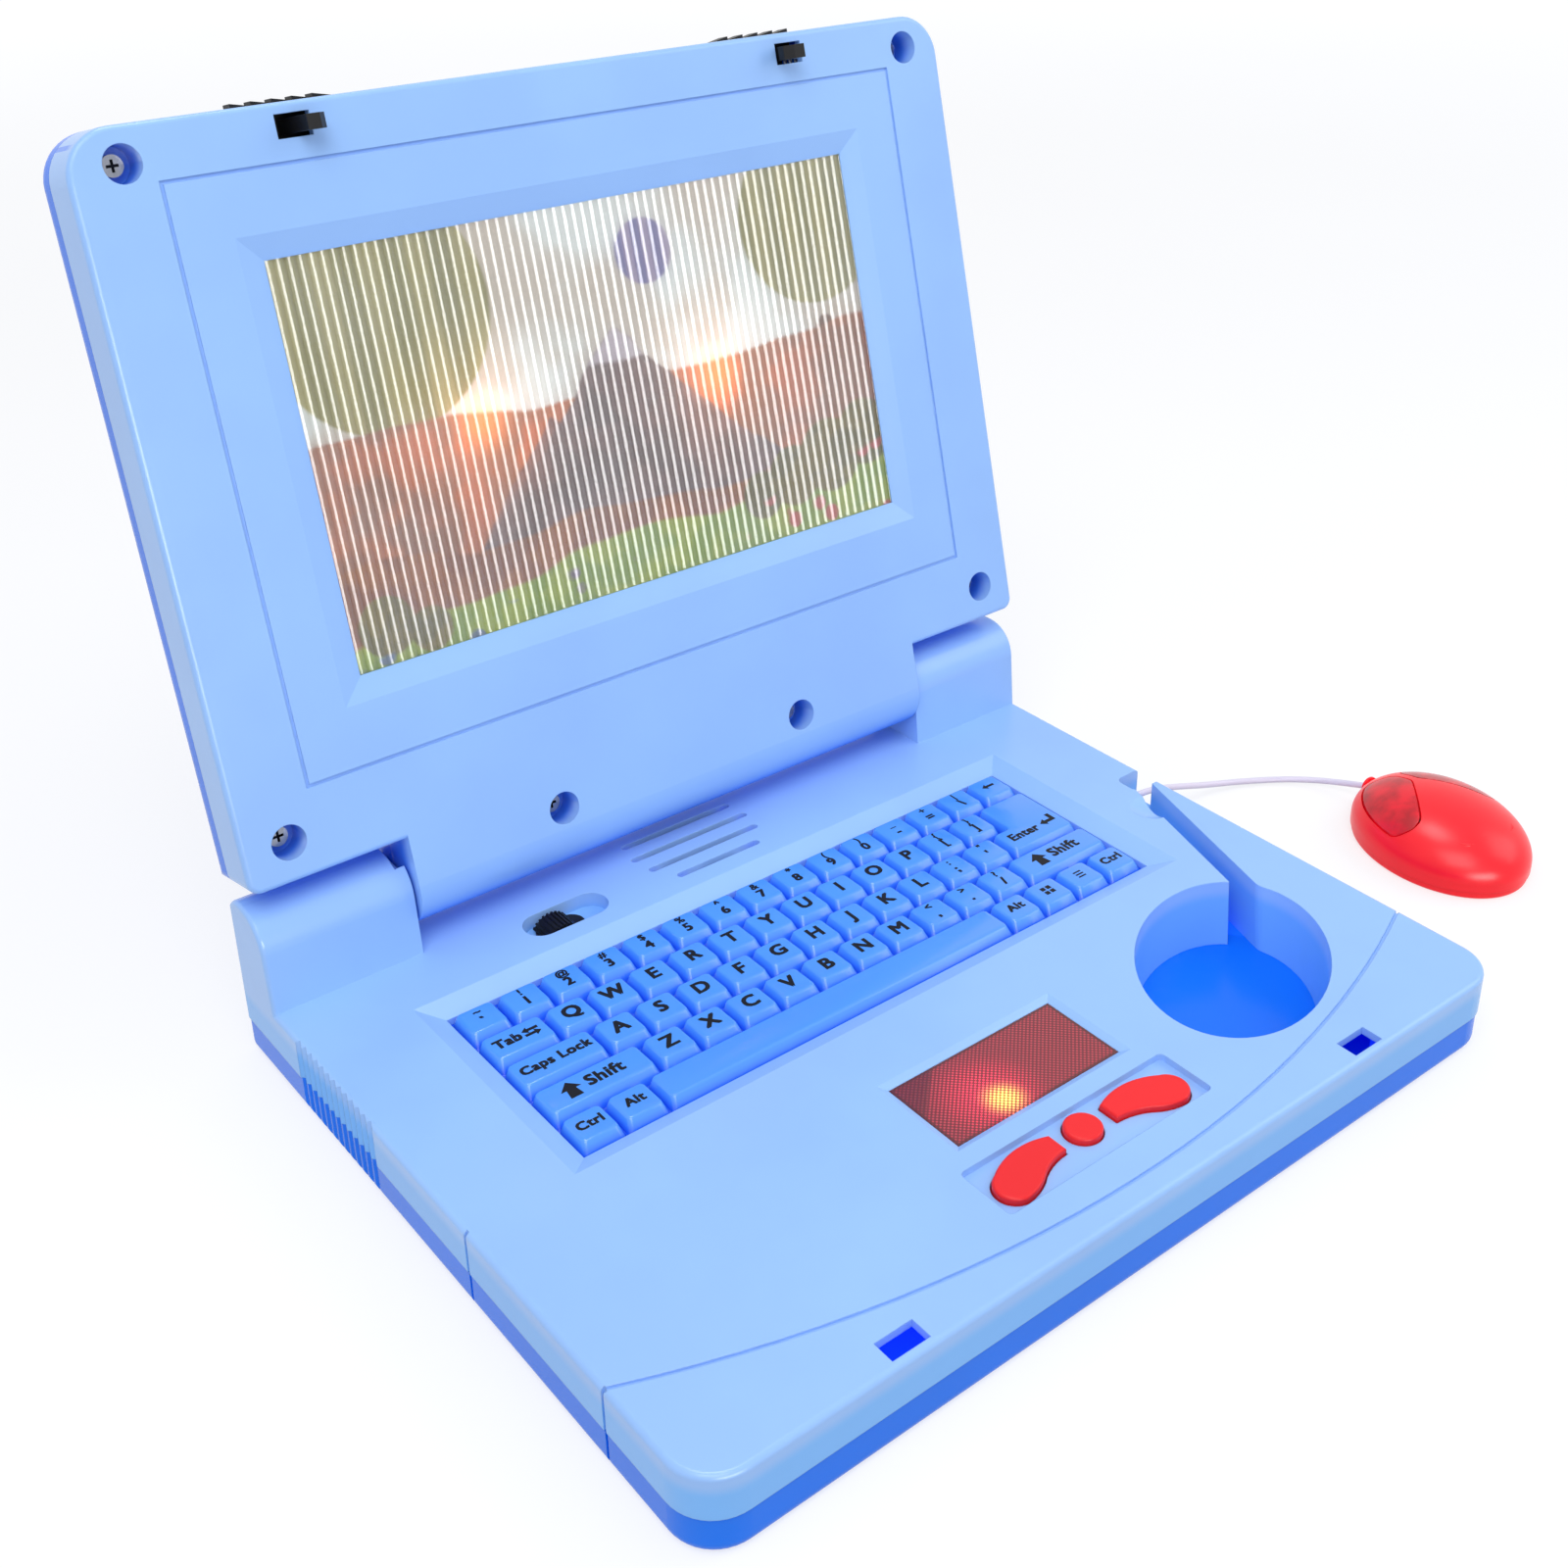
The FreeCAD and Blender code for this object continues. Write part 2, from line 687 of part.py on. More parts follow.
def arc_line():
    """Cutter for the curved line across the front of the top face."""
    half = HALF_WIDTH
    sag = ARC_END_Y - ARC_MIDDLE_Y
    radius = (half ** 2 + sag ** 2) / (2 * sag)
    centre_y = ARC_MIDDLE_Y + radius
    low = BASE_TOP - LINE_DEPTH
    ring = post(radius + LINE_WIDTH / 2, 0, centre_y, low, BASE_TOP + CUT_OVER)
    return ring.cut(post(radius - LINE_WIDTH / 2, 0, centre_y, low, BASE_TOP + CUT_OVER))


def hinge_block():
    """Right hinge block with a hollow and a seat for its pin."""
    x0 = BLOCK_INNER
    x1 = HALF_WIDTH
    low = TOP_SKIN_Z
    back = HALF_DEPTH
    foot = (x0, HINGE_Y - BLOCK_REACH, low)
    shoulder = (x0, HINGE_Y - BLOCK_SHOULDER_REACH, HINGE_Z + BLOCK_SHOULDER_RISE)
    brow = (x0, HINGE_Y - BLOCK_BROW_REACH, HINGE_Z + BLOCK_BROW_RISE)
    crown = (x0, HINGE_Y - BLOCK_CROWN_REACH, HINGE_Z + BLOCK_RISE)
    top = (x0, HINGE_Y, HINGE_Z + BLOCK_RISE)
    nape = (x0, HINGE_Y + BLOCK_NAPE_BACK, HINGE_Z + BLOCK_NAPE_RISE)
    heel = (x0, back, HINGE_Z + BLOCK_BACK_RISE)
    heel_low = (x0, back, low)
    edges = [
        line(foot, shoulder),
        arc(shoulder, brow, crown),
        line(crown, top),
        arc(top, nape, heel),
        line(heel, heel_low),
        line(heel_low, foot),
    ]
    block = side_profile(edges, x0, x1)
    ends = [e for e in block.Edges if abs(e.BoundBox.XMin - x1) < 1e-4 and e.BoundBox.ZMax > low + 1e-4]
    block = block.makeFillet(BLOCK_EDGE, ends)
    outline = rounded_prism(-x1, x1, -back, back, low, HINGE_Z + BLOCK_RISE + CUT_OVER, FRONT_CORNER, BACK_CORNER)
    block = block.common(outline)
    return block.cut(box(x0, x0 + BLOCK_NOTCH_WIDTH, HINGE_Y - BLOCK_NOTCH_REACH, back,
                         HINGE_Z + BLOCK_RISE - BLOCK_NOTCH_DROP, HINGE_Z + BLOCK_RISE + CUT_OVER))


def block_hollow():
    """Space inside the right hinge block, open to the base below."""
    front = HINGE_Y - BLOCK_SHOULDER_REACH + CASE_WALL
    back = HALF_DEPTH - CASE_WALL
    brow_y = HINGE_Y - BLOCK_BROW_REACH + CASE_WALL + BLOCK_SLACK
    top_z = HINGE_Z + BLOCK_RISE - CASE_WALL
    brow_z = HINGE_Z + BLOCK_SHOULDER_RISE
    x0 = BLOCK_INNER + BLOCK_NOTCH_WIDTH + CASE_WALL
    x1 = HALF_WIDTH - CASE_WALL
    nape_y = HINGE_Y + BLOCK_NAPE_BACK - CASE_WALL
    points = (
        V(x0, front, SEAM_HEIGHT),
        V(x0, back, SEAM_HEIGHT),
        V(x0, back, brow_z),
        V(x0, nape_y, top_z),
        V(x0, brow_y, top_z),
        V(x0, front, brow_z),
    )
    face = Part.Face(Part.makePolygon(points + points[:1]))
    return face.extrude(V(x1 - x0, 0, 0))


def groove_slot(reach, z0, z1, grow):
    """Straight slot from the recess towards the notch, round at both ends."""
    width = GROOVE_WIDTH + grow
    way = GROOVE_END - GROOVE_START
    slot = obround(reach / 2, 0, reach + width, width, z0, z1)
    slot.rotate(ORIGIN, Z_AXIS, math.degrees(math.atan2(way.y, way.x)))
    slot.translate(GROOVE_START)
    return slot


def notch(z0, z1, left, right, grow):
    """Gap in the right wall through which the cord leaves."""
    half = NOTCH_WIDTH / 2 + grow
    corner = NOTCH_CORNER
    return rounded_prism(left, right, NOTCH_Y - half, NOTCH_Y + half, z0, z1, corner, corner)


def recess_cavity():
    """Hollow for the mouse with the deep end of the groove, whose outer corner is rounded."""
    rim = ellipse_wire(RECESS_LONG, RECESS_SHORT, BASE_TOP)
    foot = ellipse_wire(RECESS_LONG * RECESS_FOOT, RECESS_SHORT * RECESS_FOOT, TRAY_FLOOR)
    hollow = in_recess(Part.makeLoft([foot, rim], True, True))
    hollow = hollow.fuse(groove_slot(GROOVE_DEEP, TRAY_FLOOR, BASE_TOP, 0)).removeSplitter()
    upright = [e for e in hollow.Edges if e.BoundBox.ZLength > BASE_TOP - TRAY_FLOOR - CUT_OVER]
    leaning = [e for e in upright if e.Curve.TypeId != "Part::GeomLine"]
    outer = max(leaning, key=lambda e: e.BoundBox.Center.x)
    return hollow.makeFillet(GROOVE_CORNER, [outer])


def bean_wire():
    """Outline of the right bean-shaped button."""
    z = PANEL_UNDER
    high = (BEAN_INNER_X, BEAN_INNER_HIGH_Y, z)
    low = (BEAN_INNER_X, BEAN_INNER_LOW_Y, z)
    crest, shoulder, tip = ((x, y, z) for x, y in (BEAN_CREST, BEAN_SHOULDER, BEAN_TIP))
    heel, belly, waist, neck = ((x, y, z) for x, y in (BEAN_HEEL, BEAN_BELLY, BEAN_WAIST, BEAN_NECK))
    edges = [
        arc(high, crest, shoulder),
        arc(shoulder, tip, heel),
        arc(heel, belly, waist),
        arc(waist, neck, low),
        line(low, high),
    ]
    return Part.Wire(edges)


def bean_body(grow, z0, z1):
    """Prism on the bean outline grown by a distance."""
    wire = bean_wire()
    if grow:
        wire = wire.makeOffset2D(grow)
    prism = Part.Face(wire).extrude(V(0, 0, z1 - z0))
    prism.translate(V(0, 0, z0 - PANEL_UNDER))
    return prism


def round_body(grow, z0, z1):
    """Prism on the round button's outline grown by a distance."""
    return post(ROUND_BUTTON_R + grow, 0, BUTTON_Y, z0, z1)


def button(body, stem_x, stem_y):
    """Button cap with a flange under the panel and a stem over its dome."""
    top = BASE_TOP - BUTTON_TOP_DROP
    cap = body(0, PANEL_UNDER, top)
    cap = cap.makeFillet(BUTTON_EDGE, edges_at(cap, top))
    flange_low = PANEL_UNDER - BUTTON_FLANGE_THICK
    flange = body(BUTTON_FLANGE, flange_low, PANEL_UNDER)
    stem = post(BUTTON_STEM_R, stem_x, stem_y, dome_top() + BUTTON_TRAVEL + DOME_CLEARANCE, flange_low)
    return joined(cap, [flange, stem])


def dome_top():
    """Height of the rubber domes under the buttons."""
    return PANEL_UNDER - BUTTON_FLANGE_THICK - BUTTON_STEM - BUTTON_TRAVEL - DOME_CLEARANCE


def base_top_case():
    """Light upper shell of the base with everything that is moulded in it."""
    x1 = HALF_WIDTH
    y1 = HALF_DEPTH
    shell = rounded_prism(-x1, x1, -y1, y1, SEAM_HEIGHT, BASE_TOP, FRONT_CORNER, BACK_CORNER)
    shell = shell.makeFillet(TOP_EDGE, edges_at(shell, BASE_TOP))
    ix = x1 - CASE_WALL
    iy = y1 - CASE_WALL
    inner_front = FRONT_CORNER - CASE_WALL
    inner_back = BACK_CORNER - CASE_WALL
    hollow = rounded_prism(-ix, ix, -iy, iy, SEAM_HEIGHT, TOP_SKIN_Z, inner_front, inner_back)
    block = hinge_block()
    hole = block_hollow()
    seat = rod(PIN_BOSS_R, BLOCK_INNER, BLOCK_INNER + PIN_IN_BLOCK, HINGE_Y, HINGE_Z)
    bore = rod(PIN_R, BLOCK_INNER, BLOCK_INNER + PIN_IN_BLOCK, HINGE_Y, HINGE_Z)
    shell = joined(shell, [block, mirrored(block)]).cut([hollow, hole, mirrored(hole)])
    frame_x = KEY_FIELD_X / 2 + KEY_FIELD_GAP
    frame_y = KEY_FIELD_Y / 2 + KEY_FIELD_GAP
    border = KEYBOARD_BEVEL + KEYBOARD_BORDER
    panel_x = PANEL_WIDTH / 2 + PANEL_BORDER
    panel_y = PANEL_DEPTH / 2 + PANEL_BORDER
    recess_wall = ellipse_prism(RECESS_LONG + RECESS_WALL, RECESS_SHORT + RECESS_WALL, TRAY_FLOOR, TOP_SKIN_Z)
    groove_length = GROOVE_START.distanceToPoint(GROOVE_END)
    notch_low = NOTCH_FLOOR - GROOVE_SKIN
    thick = 2 * RECESS_WALL
    solid_parts = [
        box(-frame_x - border, frame_x + border, KEYBOARD_Y - frame_y - border,
            KEYBOARD_Y + frame_y + border, PLATE_TOP, TOP_SKIN_Z),
        box(-panel_x, panel_x, PANEL_Y - panel_y, PANEL_Y + panel_y, PANEL_UNDER, TOP_SKIN_Z),
        obround(POCKET_X, POCKET_Y, POCKET_LENGTH + 2 * POCKET_BORDER, POCKET_WIDTH + 2 * POCKET_BORDER,
                POCKET_UNDER, TOP_SKIN_Z),
        in_recess(recess_wall),
        groove_slot(GROOVE_DEEP, TRAY_FLOOR, TOP_SKIN_Z, thick),
        groove_slot(groove_length, notch_low, TOP_SKIN_Z, thick),
        notch(notch_low, TOP_SKIN_Z, NOTCH_LEFT - GROMMET_LENGTH, x1 - CASE_WALL / 2, RECESS_WALL),
        seat,
        mirrored(seat),
    ]
    solid_parts += [post(BOSS_R, x, y, SEAM_HEIGHT, TOP_SKIN_Z) for x, y in BASE_SCREWS]
    shell = joined(shell, solid_parts)
    pad_x = PAD_WIDTH / 2
    pad_y0 = PAD_Y - PAD_DEPTH / 2
    pad_y1 = PAD_Y + PAD_DEPTH / 2
    cutters = [
        sloped_opening(frame_x, KEYBOARD_Y - frame_y, KEYBOARD_Y + frame_y, BASE_TOP - KEYBOARD_DROP,
                       BASE_TOP, KEYBOARD_BEVEL),
        box(-frame_x, frame_x, KEYBOARD_Y - frame_y, KEYBOARD_Y + frame_y, PLATE_TOP, BASE_TOP),
        sloped_opening(pad_x, pad_y0, pad_y1, BASE_TOP - PAD_DROP, BASE_TOP, PAD_BEVEL),
        box(-pad_x, pad_x, pad_y0, pad_y1, TOP_SKIN_Z, BASE_TOP),
        rounded_prism(-PANEL_WIDTH / 2, PANEL_WIDTH / 2, PANEL_Y - PANEL_DEPTH / 2, PANEL_Y + PANEL_DEPTH / 2,
                      PANEL_FLOOR, BASE_TOP, PANEL_CORNER, PANEL_CORNER),
        round_body(BUTTON_FIT, PANEL_UNDER, BASE_TOP),
        bean_body(BUTTON_FIT, PANEL_UNDER, BASE_TOP),
        mirrored(bean_body(BUTTON_FIT, PANEL_UNDER, BASE_TOP)),
        obround(POCKET_X, POCKET_Y, POCKET_LENGTH, POCKET_WIDTH, POCKET_FLOOR, BASE_TOP),
        stem_slot(POCKET_UNDER, POCKET_FLOOR),
        recess_cavity(),
        groove_slot(groove_length, NOTCH_FLOOR, BASE_TOP, 0),
        notch(NOTCH_FLOOR, BASE_TOP, NOTCH_LEFT, HALF_WIDTH + NOTCH_CORNER + CUT_OVER, 0),
        Part.makeSphere(SCOOP_R, V(SCOOP_X, SCOOP_Y, BASE_TOP + SCOOP_RISE)),
        rod(GROMMET_R, NOTCH_LEFT - GROMMET_LENGTH, NOTCH_LEFT, NOTCH_Y, CORD_EXIT_Z),
        arc_line(),
        bore,
        mirrored(bore),
    ]
    for i in range(SLOT_COUNT):
        offset = (i - (SLOT_COUNT - 1) / 2) * SLOT_PITCH
        length = 2 * math.sqrt(GRILLE_R ** 2 - offset ** 2)
        cutters.append(obround(0, SPEAKER_Y + offset, length, SLOT_WIDTH, TOP_SKIN_Z, BASE_TOP))
    slot = at_latch(box(LATCH_SLOT_INNER, LATCH_SLOT_OUTER, LATCH_SLOT_Y - LATCH_SLOT_DEPTH / 2,
                        LATCH_SLOT_Y + LATCH_SLOT_DEPTH / 2, TOP_SKIN_Z, BASE_TOP))
    cutters += [slot, mirrored(slot)]
    for x, y in BASE_SCREWS:
        cutters.append(post(SCREW_R, x, y, SEAM_HEIGHT, SCREW_WELL + BASE_SCREW_LENGTH))
    cutters += base_lines()
    return one_solid(shell.cut(cutters))


def base_bottom_case():
    """Dark lower tray of the base with the battery box."""
    x1 = HALF_WIDTH - TRAY_INSET
    y1 = HALF_DEPTH - TRAY_INSET
    tray = rounded_prism(-x1, x1, -y1, y1, 0, SEAM_HEIGHT, FRONT_CORNER, BACK_CORNER)
    tray = tray.makeFillet(TRAY_EDGE, edges_at(tray, 0))
    ix = HALF_WIDTH - CASE_WALL
    iy = HALF_DEPTH - CASE_WALL
    inner_front = FRONT_CORNER - CASE_WALL
    inner_back = BACK_CORNER - CASE_WALL
    tray = tray.cut(rounded_prism(-ix, ix, -iy, iy, TRAY_FLOOR, SEAM_HEIGHT, inner_front, inner_back))
    bx = BATTERY_LENGTH / 2
    by = BATTERY_WIDTH / 2
    wall = BATTERY_WALL
    ear_x = BATTERY_X + DOOR_EAR_OFFSET
    added = [
        box(BATTERY_X - bx - wall, BATTERY_X + bx + wall, BATTERY_Y - by - wall, BATTERY_Y + by + wall,
            TRAY_FLOOR, BATTERY_HEIGHT + wall),
        post(DOOR_BOSS_R, ear_x, BATTERY_Y, TRAY_FLOOR, DOOR_BOSS_TOP),
    ]
    added += [post(BOSS_R, x, y, TRAY_FLOOR, SEAM_HEIGHT) for x, y in BASE_SCREWS]
    added += [post(POST_R, x, y, TRAY_FLOOR, BUTTON_BOARD_Z) for x, y in button_board_posts()]
    added += [post(POST_R, x, y, TRAY_FLOOR, MAIN_BOARD_Z) for x, y in main_board_posts()]
    tray = joined(tray, added)
    cutters = [
        box(BATTERY_X - bx, BATTERY_X + bx, BATTERY_Y - by, BATTERY_Y + by, 0, BATTERY_HEIGHT),
        door_plate(0, 0),
        post(SCREW_R, ear_x, BATTERY_Y, 0, DOOR_THICK + DOOR_SCREW_LENGTH),
    ]
    for x, y in BASE_SCREWS:
        cutters.append(post(SCREW_WELL_R, x, y, 0, SCREW_WELL))
        cutters.append(post(SCREW_HOLE_R, x, y, 0, SEAM_HEIGHT))
    cutters += base_lines()
    return one_solid(tray.cut(cutters))


def door_plate(fit, hole_r):
    """Outline of the battery cover, smaller than its seat by the fit."""
    bx = BATTERY_LENGTH / 2 + DOOR_LAP - fit
    by = BATTERY_WIDTH / 2 + DOOR_LAP - fit
    ear_x = BATTERY_X + DOOR_EAR_OFFSET
    plate = box(BATTERY_X - bx, BATTERY_X + bx, BATTERY_Y - by, BATTERY_Y + by, 0, DOOR_THICK)
    ear = post(DOOR_EAR_R - fit, ear_x, BATTERY_Y, 0, DOOR_THICK)
    plate = joined(plate, [ear])
    if hole_r:
        plate = plate.cut(post(hole_r, ear_x, BATTERY_Y, 0, DOOR_THICK))
    return plate


def battery_cover_screw():
    """Screw of the battery cover, its head let into the cover."""
    return screw(BATTERY_X + DOOR_EAR_OFFSET, BATTERY_Y, DOOR_THICK, DOOR_SCREW_LENGTH, SCREW_R, HEAD_R,
                 DOOR_THICK, 1)


def cell_rows():
    """Centre line and direction of each cell."""
    middle = (CELL_COUNT - 1) / 2
    return [(BATTERY_Y + (i - middle) * CELL_PITCH, 1 if i % 2 == 0 else -1) for i in range(CELL_COUNT)]


def cell_middle_z():
    """Height of the cells' centre lines, just under the roof of the box."""
    return BATTERY_HEIGHT - CELL_R


def battery_cells():
    """Three cells, every second one turned round."""
    cells = []
    z = cell_middle_z()
    for y, way in cell_rows():
        tip = BATTERY_X + way * (BATTERY_LENGTH / 2 - CONTACT_THICK)
        shoulder = tip - way * CELL_NUB
        body = rod(CELL_R, shoulder, shoulder - way * CELL_LENGTH, y, z)
        cells.append(joined(body, [rod(CELL_NUB_R, tip, shoulder, y, z)]))
    return Part.makeCompound(cells)


def contact_plate(x, way, y):
    """Flat metal plate on an end wall of the box."""
    half = CONTACT_SIDE / 2
    z = cell_middle_z()
    return box(x, x - way * CONTACT_THICK, y - half, y + half, z - half, z + half)


def battery_plate_contacts():
    """Plates that meet the cells' nubs."""
    end = BATTERY_LENGTH / 2
    return Part.makeCompound([contact_plate(BATTERY_X + way * end, way, y) for y, way in cell_rows()])


def battery_spring_contacts():
    """Plates with a spring sleeve that press on the cells' flat ends."""
    end = BATTERY_LENGTH / 2
    z = cell_middle_z()
    pieces = []
    for y, way in cell_rows():
        wall = BATTERY_X - way * end
        flat = BATTERY_X + way * (end - CONTACT_THICK - CELL_NUB - CELL_LENGTH)
        sleeve = rod(COIL_R, wall + way * CONTACT_THICK, flat, y, z)
        sleeve = sleeve.cut(rod(COIL_R - COIL_WALL, wall + way * CONTACT_THICK, flat, y, z))
        pieces.append(joined(contact_plate(wall, -way, y), [sleeve]))
    return Part.makeCompound(pieces)


def base_screws():
    """Screws that hold the two base shells together."""
    pieces = []
    for x, y in BASE_SCREWS:
        pieces.append(screw(x, y, SCREW_WELL, BASE_SCREW_LENGTH, SCREW_R, HEAD_R, HEAD_HEIGHT, 1))
    return Part.makeCompound(pieces)


def key(x0, x1, y0, y1):
    """One key: a block with leaning sides on the plate."""
    half = KEY_GAP / 2
    foot = rectangle(x0 + half, x1 - half, y0 + half, y1 - half, PLATE_TOP)
    top = rectangle(x0 + half + KEY_SIDE_SLOPE, x1 - half - KEY_SIDE_SLOPE,
                    y0 + half + KEY_FRONT_SLOPE, y1 - half - KEY_BACK_SLOPE, KEY_TOP)
    return Part.makeLoft([foot, top], True, True)


def keyboard_plate():
    """Plate with all the keys moulded on it."""
    half_x = KEY_FIELD_X / 2
    half_y = KEY_FIELD_Y / 2
    reach_x = half_x + KEY_FIELD_GAP + PLATE_LAP
    reach_y = half_y + KEY_FIELD_GAP + PLATE_LAP
    plate = box(-reach_x, reach_x, KEYBOARD_Y - reach_y, KEYBOARD_Y + reach_y, PLATE_TOP - PLATE_THICK, PLATE_TOP)
    keys = []
    for row, widths in enumerate(KEY_ROWS):
        back = KEYBOARD_Y + half_y - row * KEY_PITCH_Y
        x = -half_x
        for units in widths:
            following = x + units * KEY_PITCH_X
            keys.append(key(x, following, back - KEY_PITCH_Y, back))
            x = following
    enter_back = KEYBOARD_Y + half_y - (ENTER_ROW - 1) * KEY_PITCH_Y
    enter_left = half_x - ENTER_UPPER_UNITS * KEY_PITCH_X
    keys.append(key(enter_left, half_x, enter_back - 2 * KEY_PITCH_Y, enter_back))
    return one_solid(joined(plate, keys))


def touchpad_window():
    """Red window: a raised middle in the opening and a flange under the case."""
    px = PAD_WIDTH / 2 - PAD_FIT
    py = PAD_DEPTH / 2 - PAD_FIT
    middle = box(-px, px, PAD_Y - py, PAD_Y + py, TOP_SKIN_Z, BASE_TOP - PAD_DROP)
    fx = PAD_WIDTH / 2 + PAD_LAP
    fy = PAD_DEPTH / 2 + PAD_LAP
    flange = box(-fx, fx, PAD_Y - fy, PAD_Y + fy, TOP_SKIN_Z - PAD_FLANGE, TOP_SKIN_Z)
    return joined(flange, [middle])


def lamp(radius, height, x, y, z):
    """Round lamp with a domed tip."""
    body = post(radius, x, y, z, z + height - radius)
    return joined(body, [Part.makeSphere(radius, V(x, y, z + height - radius))])


def button_board_posts():
    """Places of the posts under the button board."""
    x = BUTTON_BOARD_WIDTH / 2 - POST_INSET
    y = BUTTON_BOARD_DEPTH / 2 - POST_INSET
    return [(sx * x, BUTTON_BOARD_Y + sy * y) for sx in (-1, 1) for sy in (-1, 1)]


def main_board_posts():
    """Places of the posts under the main board."""
    x = MAIN_BOARD_WIDTH / 2 - POST_INSET
    y = MAIN_BOARD_DEPTH / 2 - POST_INSET
    return [(sx * x, MAIN_BOARD_Y + sy * y) for sx in (-1, 1) for sy in (-1, 1)]


def button_board():
    """Circuit board under the buttons and the window."""
    half_x = BUTTON_BOARD_WIDTH / 2
    half_y = BUTTON_BOARD_DEPTH / 2
    top = BUTTON_BOARD_Z + BOARD_THICK
    return box(-half_x, half_x, BUTTON_BOARD_Y - half_y, BUTTON_BOARD_Y + half_y, BUTTON_BOARD_Z, top)


def button_membrane():
    """Rubber sheet with a dome under each button."""
    half_x = MEMBRANE_WIDTH / 2
    half_y = MEMBRANE_DEPTH / 2
    low = BUTTON_BOARD_Z + BOARD_THICK
    top = low + MEMBRANE_THICK
    sheet = box(-half_x, half_x, PANEL_Y - half_y, PANEL_Y + half_y, low, top)
    places = ((0, BUTTON_Y), (-BEAN_STEM_X, BEAN_STEM_Y), (BEAN_STEM_X, BEAN_STEM_Y))
    domes = [Part.makeCone(DOME_R, DOME_TOP_R, dome_top() - top, V(x, y, top)) for x, y in places]
    return joined(sheet, domes)


def main_board():
    """Main circuit board in the tray."""
    half_x = MAIN_BOARD_WIDTH / 2
    half_y = MAIN_BOARD_DEPTH / 2
    top = MAIN_BOARD_Z + BOARD_THICK
    return box(-half_x, half_x, MAIN_BOARD_Y - half_y, MAIN_BOARD_Y + half_y, MAIN_BOARD_Z, top)


def main_board_chips():
    """Sealed chip and a memory chip on the main board."""
    top = MAIN_BOARD_Z + BOARD_THICK
    blob = Part.makeCone(CHIP_BLOB_R, CHIP_BLOB_R / 2, CHIP_BLOB_HEIGHT, V(-CHIP_OFFSET, MAIN_BOARD_Y, top))
    chip = box(CHIP_OFFSET - CHIP_WIDTH / 2, CHIP_OFFSET + CHIP_WIDTH / 2, MAIN_BOARD_Y - CHIP_DEPTH / 2,
               MAIN_BOARD_Y + CHIP_DEPTH / 2, top, top + CHIP_HEIGHT)
    return Part.makeCompound([blob, chip])


def stem_slot(z0, z1):
    """Slot along which the knob's stem runs."""
    half = KNOB_STEM / 2 + KNOB_FIT
    return box(KNOB_X - half, KNOB_X + KNOB_TRAVEL + half, POCKET_Y - half, POCKET_Y + half, z0, z1)


def power_switch_knob():
    """Domed knob with fine ridges on a skirt that slides on the pocket's floor."""
    top = BASE_TOP - KNOB_TOP_DROP
    skirt_top = POCKET_FLOOR + SKIRT_THICK
    skirt_x = KNOB_X + (SKIRT_RIGHT - SKIRT_LEFT) / 2
    skirt = obround(skirt_x, POCKET_Y, SKIRT_LEFT + SKIRT_RIGHT, SKIRT_WIDTH, POCKET_FLOOR, skirt_top)
    half = KNOB_LENGTH / 2
    half_w = KNOB_WIDTH / 2
    middle = V(KNOB_X, POCKET_Y, top - KNOB_DOME_R)
    dome = Part.makeCylinder(KNOB_DOME_R, KNOB_WIDTH, middle - V(0, half_w, 0), Y_AXIS)
    knob = dome.common(box(KNOB_X - half, KNOB_X + half, POCKET_Y - half_w, POCKET_Y + half_w, skirt_top, top))
    notches = []
    for i in range(KNOB_NOTCHES):
        groove = box(-KNOB_NOTCH_WIDTH / 2, KNOB_NOTCH_WIDTH / 2, -half_w, half_w, KNOB_DOME_R - KNOB_NOTCH_DEPTH,
                     KNOB_DOME_R + CUT_OVER)
        groove.rotate(ORIGIN, Y_AXIS, (i - (KNOB_NOTCHES - 1) / 2) * KNOB_NOTCH_ANGLE)
        groove.translate(middle)
        notches.append(groove)
    stem_half = KNOB_STEM / 2
    stem = box(KNOB_X - stem_half, KNOB_X + stem_half, POCKET_Y - stem_half, POCKET_Y + stem_half,
               POCKET_UNDER - STEM_DEPTH, POCKET_FLOOR)
    return one_solid(joined(skirt, [knob.cut(notches), stem]))


def power_switch_body():
    """Switch under the pocket, slotted for the knob's stem."""
    x = KNOB_X + KNOB_TRAVEL / 2
    half_x = SWITCH_LENGTH / 2
    half_y = SWITCH_WIDTH / 2
    body = box(x - half_x, x + half_x, POCKET_Y - half_y, POCKET_Y + half_y, POCKET_UNDER - SWITCH_HEIGHT, POCKET_UNDER)
    return body.cut(stem_slot(POCKET_UNDER - STEM_DEPTH - KNOB_FIT, POCKET_UNDER))


def speaker_frame():
    """Basket of the speaker with its rim against the case."""
    rim_low = TOP_SKIN_Z - SPEAKER_RIM_THICK
    rim = post(SPEAKER_R, 0, SPEAKER_Y, rim_low, TOP_SKIN_Z)
    rim = rim.cut(post(SPEAKER_R - SPEAKER_RIM, 0, SPEAKER_Y, rim_low, TOP_SKIN_Z))
    low = rim_low - BASKET_DEPTH
    wide = SPEAKER_R - SPEAKER_RIM + BASKET_WALL
    outside = Part.makeCone(BASKET_R, wide, BASKET_DEPTH, V(0, SPEAKER_Y, low))
    inside = Part.makeCone(BASKET_R - BASKET_WALL, wide - BASKET_WALL, BASKET_DEPTH, V(0, SPEAKER_Y, low))
    return joined(rim, [outside.cut(inside)])


